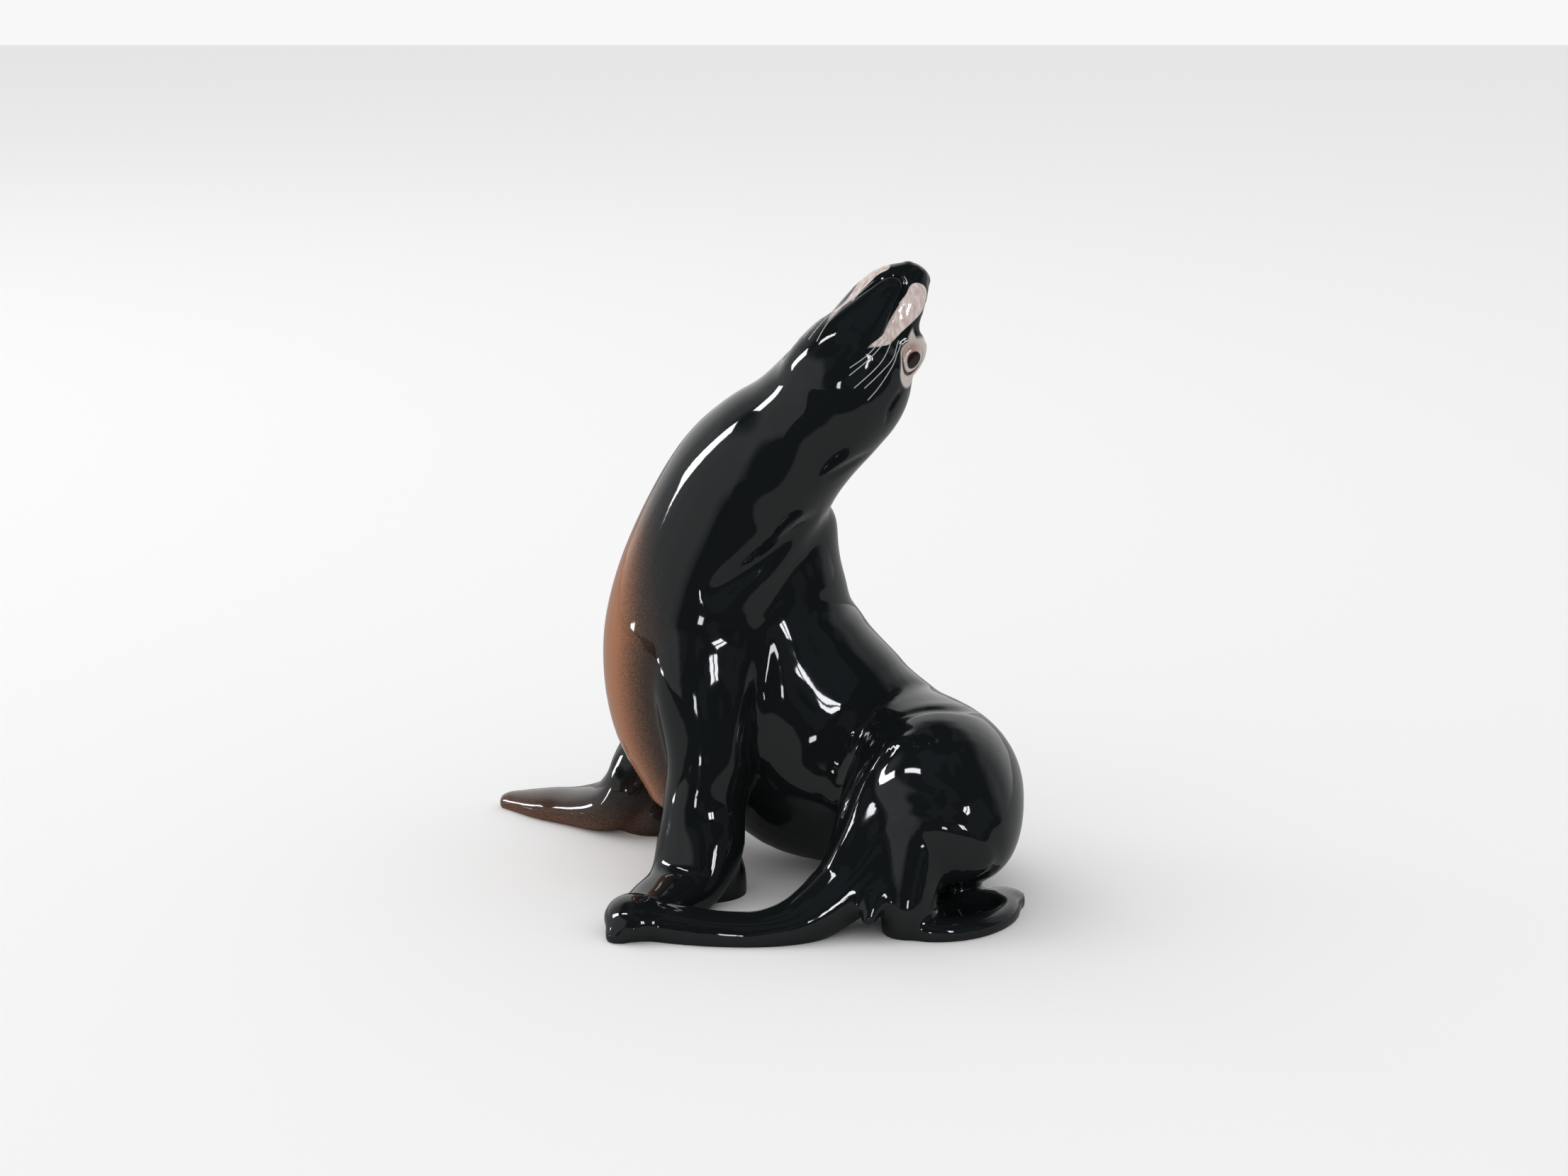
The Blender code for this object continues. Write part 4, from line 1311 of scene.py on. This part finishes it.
@dataclass(frozen=True)
class Studio:
    """Pale floor, soft light, white backdrop, and the windows that the glaze reflects."""

    soft_light: float = 0.88
    backdrop: float = 0.94
    paper: float = 0.89
    # veil is a painted shade: the grey at which the glaze mirrors the paper and backdrop. dark_paper is
    # the near black that the glaze mirrors beyond the paper's edge.
    veil: float = 0.38
    paper_edge: float = -0.25
    dark_paper: float = 0.03
    room: tuple[float, float, float] = (0.018, 0.021, 0.025)
    lit_room: tuple[float, float, float] = (0.09, 0.10, 0.115)
    panes: tuple[Pane, ...] = (
        Pane(-99, 25, 4.4, 11, 22.0, lean=-26.0),
        Pane(-75, 53, 2.4, 9, 20.0, lean=-42.0),
        Pane(-90, -6, 4.5, 7, 22.0, lean=10.0),
        Pane(25, 21, 4.6, 8.0, 22.0, bars=(0.1,)),
        Pane(-8, 1, 2.4, 4.5, 16.0),
    )

    def floor(self) -> bpy.types.Object:
        """A pale table top, which the glaze mirrors at a painted darker grey, and near black beyond its
        front edge.
        """
        mesh = bmesh.new()
        bmesh.ops.create_grid(mesh, x_segments=1, y_segments=1, size=3.0)
        data = bpy.data.meshes.new("floor")
        mesh.to_mesh(data)
        mesh.free()
        obj = bpy.data.objects.new("floor", data)
        obj.location.z = -0.00005
        bpy.context.scene.collection.objects.link(obj)
        material = bpy.data.materials.new("pale_paper")
        material.use_nodes = True
        g = Nodes(material.node_tree)
        # Painted shade in reflections: glossy rays see the paper at the veil grey, and near black in
        # front of paper_edge, instead of its own colour.
        glossy = g.add("ShaderNodeLightPath").outputs["Is Glossy Ray"]
        place = g.add("ShaderNodeNewGeometry").outputs["Position"]
        y = g.add("ShaderNodeSeparateXYZ", {0: place}).outputs["Y"]
        behind = g.step(y, self.paper_edge - 0.02, self.paper_edge + 0.02)
        seen = g.blend(behind, g.grey(self.dark_paper), g.grey(self.veil))
        colour = g.blend(glossy, g.grey(self.paper), seen)
        paper = g.add("ShaderNodeBsdfDiffuse", {"Color": colour})
        g.add("ShaderNodeOutputMaterial", {"Surface": paper.outputs[0]})
        data.materials.append(material)
        return obj

    def pane(self, g: Nodes, direction: Socket, pane: Pane) -> Socket:
        """How bright one pane is in each direction.

        Args:
            g: The world's nodes.
            direction: The direction that is looked at.
            pane: The pane.

        Returns:
            Its light, 0 outside it.
        """
        turn, rise = math.radians(pane.turn), math.radians(pane.rise)
        level = math.cos(rise)
        middle = Vector((math.sin(turn) * level, -math.cos(turn) * level, math.sin(rise)))
        right = Vector((math.cos(turn), math.sin(turn), 0.0))
        right.rotate(Matrix.Rotation(math.radians(pane.lean), 3, middle))
        up = right.cross(middle)

        def along(axis: Vector) -> Socket:
            """The direction's share along an axis."""
            node = g.add("ShaderNodeVectorMath", {0: direction, 1: tuple(axis)}, operation="DOT_PRODUCT")
            return node.outputs[1]

        def within(place: Socket, half_angle: float) -> Socket:
            """Share of a direction inside the pane's half angle, with a soft edge."""
            half = math.tan(math.radians(half_angle))
            return g.step(g.math("ABSOLUTE", place), half + 0.004, half - 0.004)

        ahead = along(middle)
        x = g.math("DIVIDE", along(right), ahead)
        y = g.math("DIVIDE", along(up), ahead)
        inside = g.times(within(x, pane.half_width), within(y, pane.half_height))
        for bar in pane.bars:
            place = bar * math.tan(math.radians(pane.half_width))
            off = g.math("ABSOLUTE", g.math("SUBTRACT", x, place))
            inside = g.times(inside, g.step(off, 0.010, 0.016))
        inside = g.times(inside, g.math("GREATER_THAN", ahead, 0.0))
        return g.times(inside, pane.light)

    def reflected(self, g: Nodes, direction: Socket) -> Socket:
        """What the glaze reflects in each direction: backdrop, table, room and windows."""
        x, y, z = g.add("ShaderNodeSeparateXYZ", {0: direction}).outputs
        behind = g.times(g.step(y, 0.02, 0.30), g.step(z, 0.80, 0.62))
        behind = g.times(behind, g.math("ADD", self.veil, g.times(g.step(y, 0.35, 0.85), 0.6)))
        left = g.times(g.step(x, -0.52, -0.68), g.times(g.step(z, 0.62, 0.45), 0.55))
        white = g.math("MAXIMUM", behind, left)
        shapes = g.noise(direction, 2.2, 1.0)
        dim = g.blend(g.step(shapes, 0.52, 0.56), (*self.room, 1), (*self.lit_room, 1))
        colour = g.blend(white, dim, g.grey(self.backdrop))
        for pane in self.panes:
            light = self.pane(g, direction, pane)
            cool = g.add("ShaderNodeCombineColor", {0: light, 1: light, 2: g.times(light, 1.06)})
            colour = g.add("ShaderNodeMix", {0: 1.0, 6: colour, 7: cool.outputs[0]},
                           data_type="RGBA", blend_type="ADD").outputs[2]
        return colour

    def world(self) -> None:
        """Soft light all round, with the backdrop and the windows for glossy rays."""
        world = bpy.data.worlds.new("studio")
        world.use_nodes = True
        bpy.context.scene.world = world
        g = Nodes(world.node_tree)
        ray = g.add("ShaderNodeLightPath").outputs
        direction = g.add("ShaderNodeTexCoord").outputs["Generated"]
        glossy = g.math("MAXIMUM", ray["Is Glossy Ray"], ray["Is Transmission Ray"])
        colour = g.blend(glossy, g.grey(self.soft_light), self.reflected(g, direction))
        colour = g.blend(ray["Is Camera Ray"], colour, g.grey(self.backdrop))
        shown = g.add("ShaderNodeBackground", {"Color": colour})
        g.add("ShaderNodeOutputWorld", {"Surface": shown.outputs[0]})

    def lamp(self, name: str, place: tuple[float, float, float], size: float, watts: float) -> None:
        """Hangs one soft lamp that the glaze doesn't mirror.

        Args:
            name: The lamp's name.
            place: Where it hangs, in metres.
            size: Its side.
            watts: Its power.
        """
        data = bpy.data.lights.new(name, "AREA")
        data.size = size
        data.energy = watts
        obj = bpy.data.objects.new(name, data)
        obj.location = place
        obj.rotation_euler = (Vector((0, 0, 0.06)) - obj.location).to_track_quat("-Z", "Y").to_euler()
        obj.visible_glossy = False
        bpy.context.scene.collection.objects.link(obj)

    def build(self) -> None:
        """Makes the floor, the world and the lamp."""
        self.floor()
        self.world()
        self.lamp("key_lamp", (-0.9, 0.5, 1.3), 1.2, 6.0)
        bpy.context.scene.view_settings.view_transform = "Standard"


@dataclass(frozen=True)
class Viewpoint:
    """The photograph's camera."""

    rise: float = 14.0
    distance: float = 720.0
    target: tuple[float, float, float] = (4.7, -26.0, 80.0)
    lens: float = 70.0
    sensor: float = 36.0

    def build(self, foot: Vec) -> None:
        """Sets up the camera.

        Args:
            foot: The point of the modelling frame that lies at the frame's origin.
        """
        rise = math.radians(self.rise)
        ahead = Vector((0.0, math.cos(rise), -math.sin(rise)))
        right = Vector((1.0, 0.0, 0.0))
        turned = Matrix((right, right.cross(ahead), -ahead)).transposed().to_4x4()
        turned.translation = (Vector(self.target) - ahead * self.distance - Vector(foot)) * MM
        data = bpy.data.cameras.new("camera")
        data.lens, data.sensor_width = self.lens, self.sensor
        data.clip_start, data.clip_end = 0.05, 20.0
        obj = bpy.data.objects.new("camera", data)
        obj.matrix_world = turned
        bpy.context.scene.collection.objects.link(obj)
        bpy.context.scene.camera = obj


def footing(body: bpy.types.Object) -> Vec:
    """Finds the point of the modelling frame that lies at the frame's origin.

    Args:
        body: The finished body, in its modelling frame.

    Returns:
        The point, which puts the body's box in the middle of the solid's.
    """
    points = coordinates(body)
    low, high = points.min(axis=0), points.max(axis=0)
    solid = (np.array(CAD_BOX[0]) + np.array(CAD_BOX[1])) / 2 / MM
    return np.array([(low[0] + high[0]) / 2 - solid[0], (low[1] + high[1]) / 2 - solid[1], 0.0])


def main() -> None:
    """Builds the figurine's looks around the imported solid, then its stage."""
    logging.basicConfig(level=logging.INFO, format="%(name)s: %(message)s")
    posture = Posture()
    head = Head(posture)
    front = (FrontFlipper(posture, Side.LEFT, reach=36.0),
             FrontFlipper(posture, Side.RIGHT, reach=38.5, back=2.2, spread=1.25))
    body = Skin(Trunk(posture), head, HindQuarters(posture), front).build()
    LOG.info("glazed_body: %d faces", len(body.data.polygons))
    Paint(posture, head).dress(body)
    whiskers = Whiskers(posture).build(body)
    LOG.info("whisker_lines: %d faces", len(whiskers.data.polygons))
    foot = footing(body)
    for piece in (body, whiskers):
        to_frame(piece, foot)
        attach(piece, "root")
    body.data.materials.clear()
    body.data.materials.append(PaintedGlaze().material())
    body.data.shade_smooth()
    body.data.set_sharp_from_angle(angle=math.radians(40))
    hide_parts("sea_lion")
    Studio().build()
    Viewpoint().build(foot)
    LOG.info("stage and camera are set")


if __name__ == "__main__":
    main()
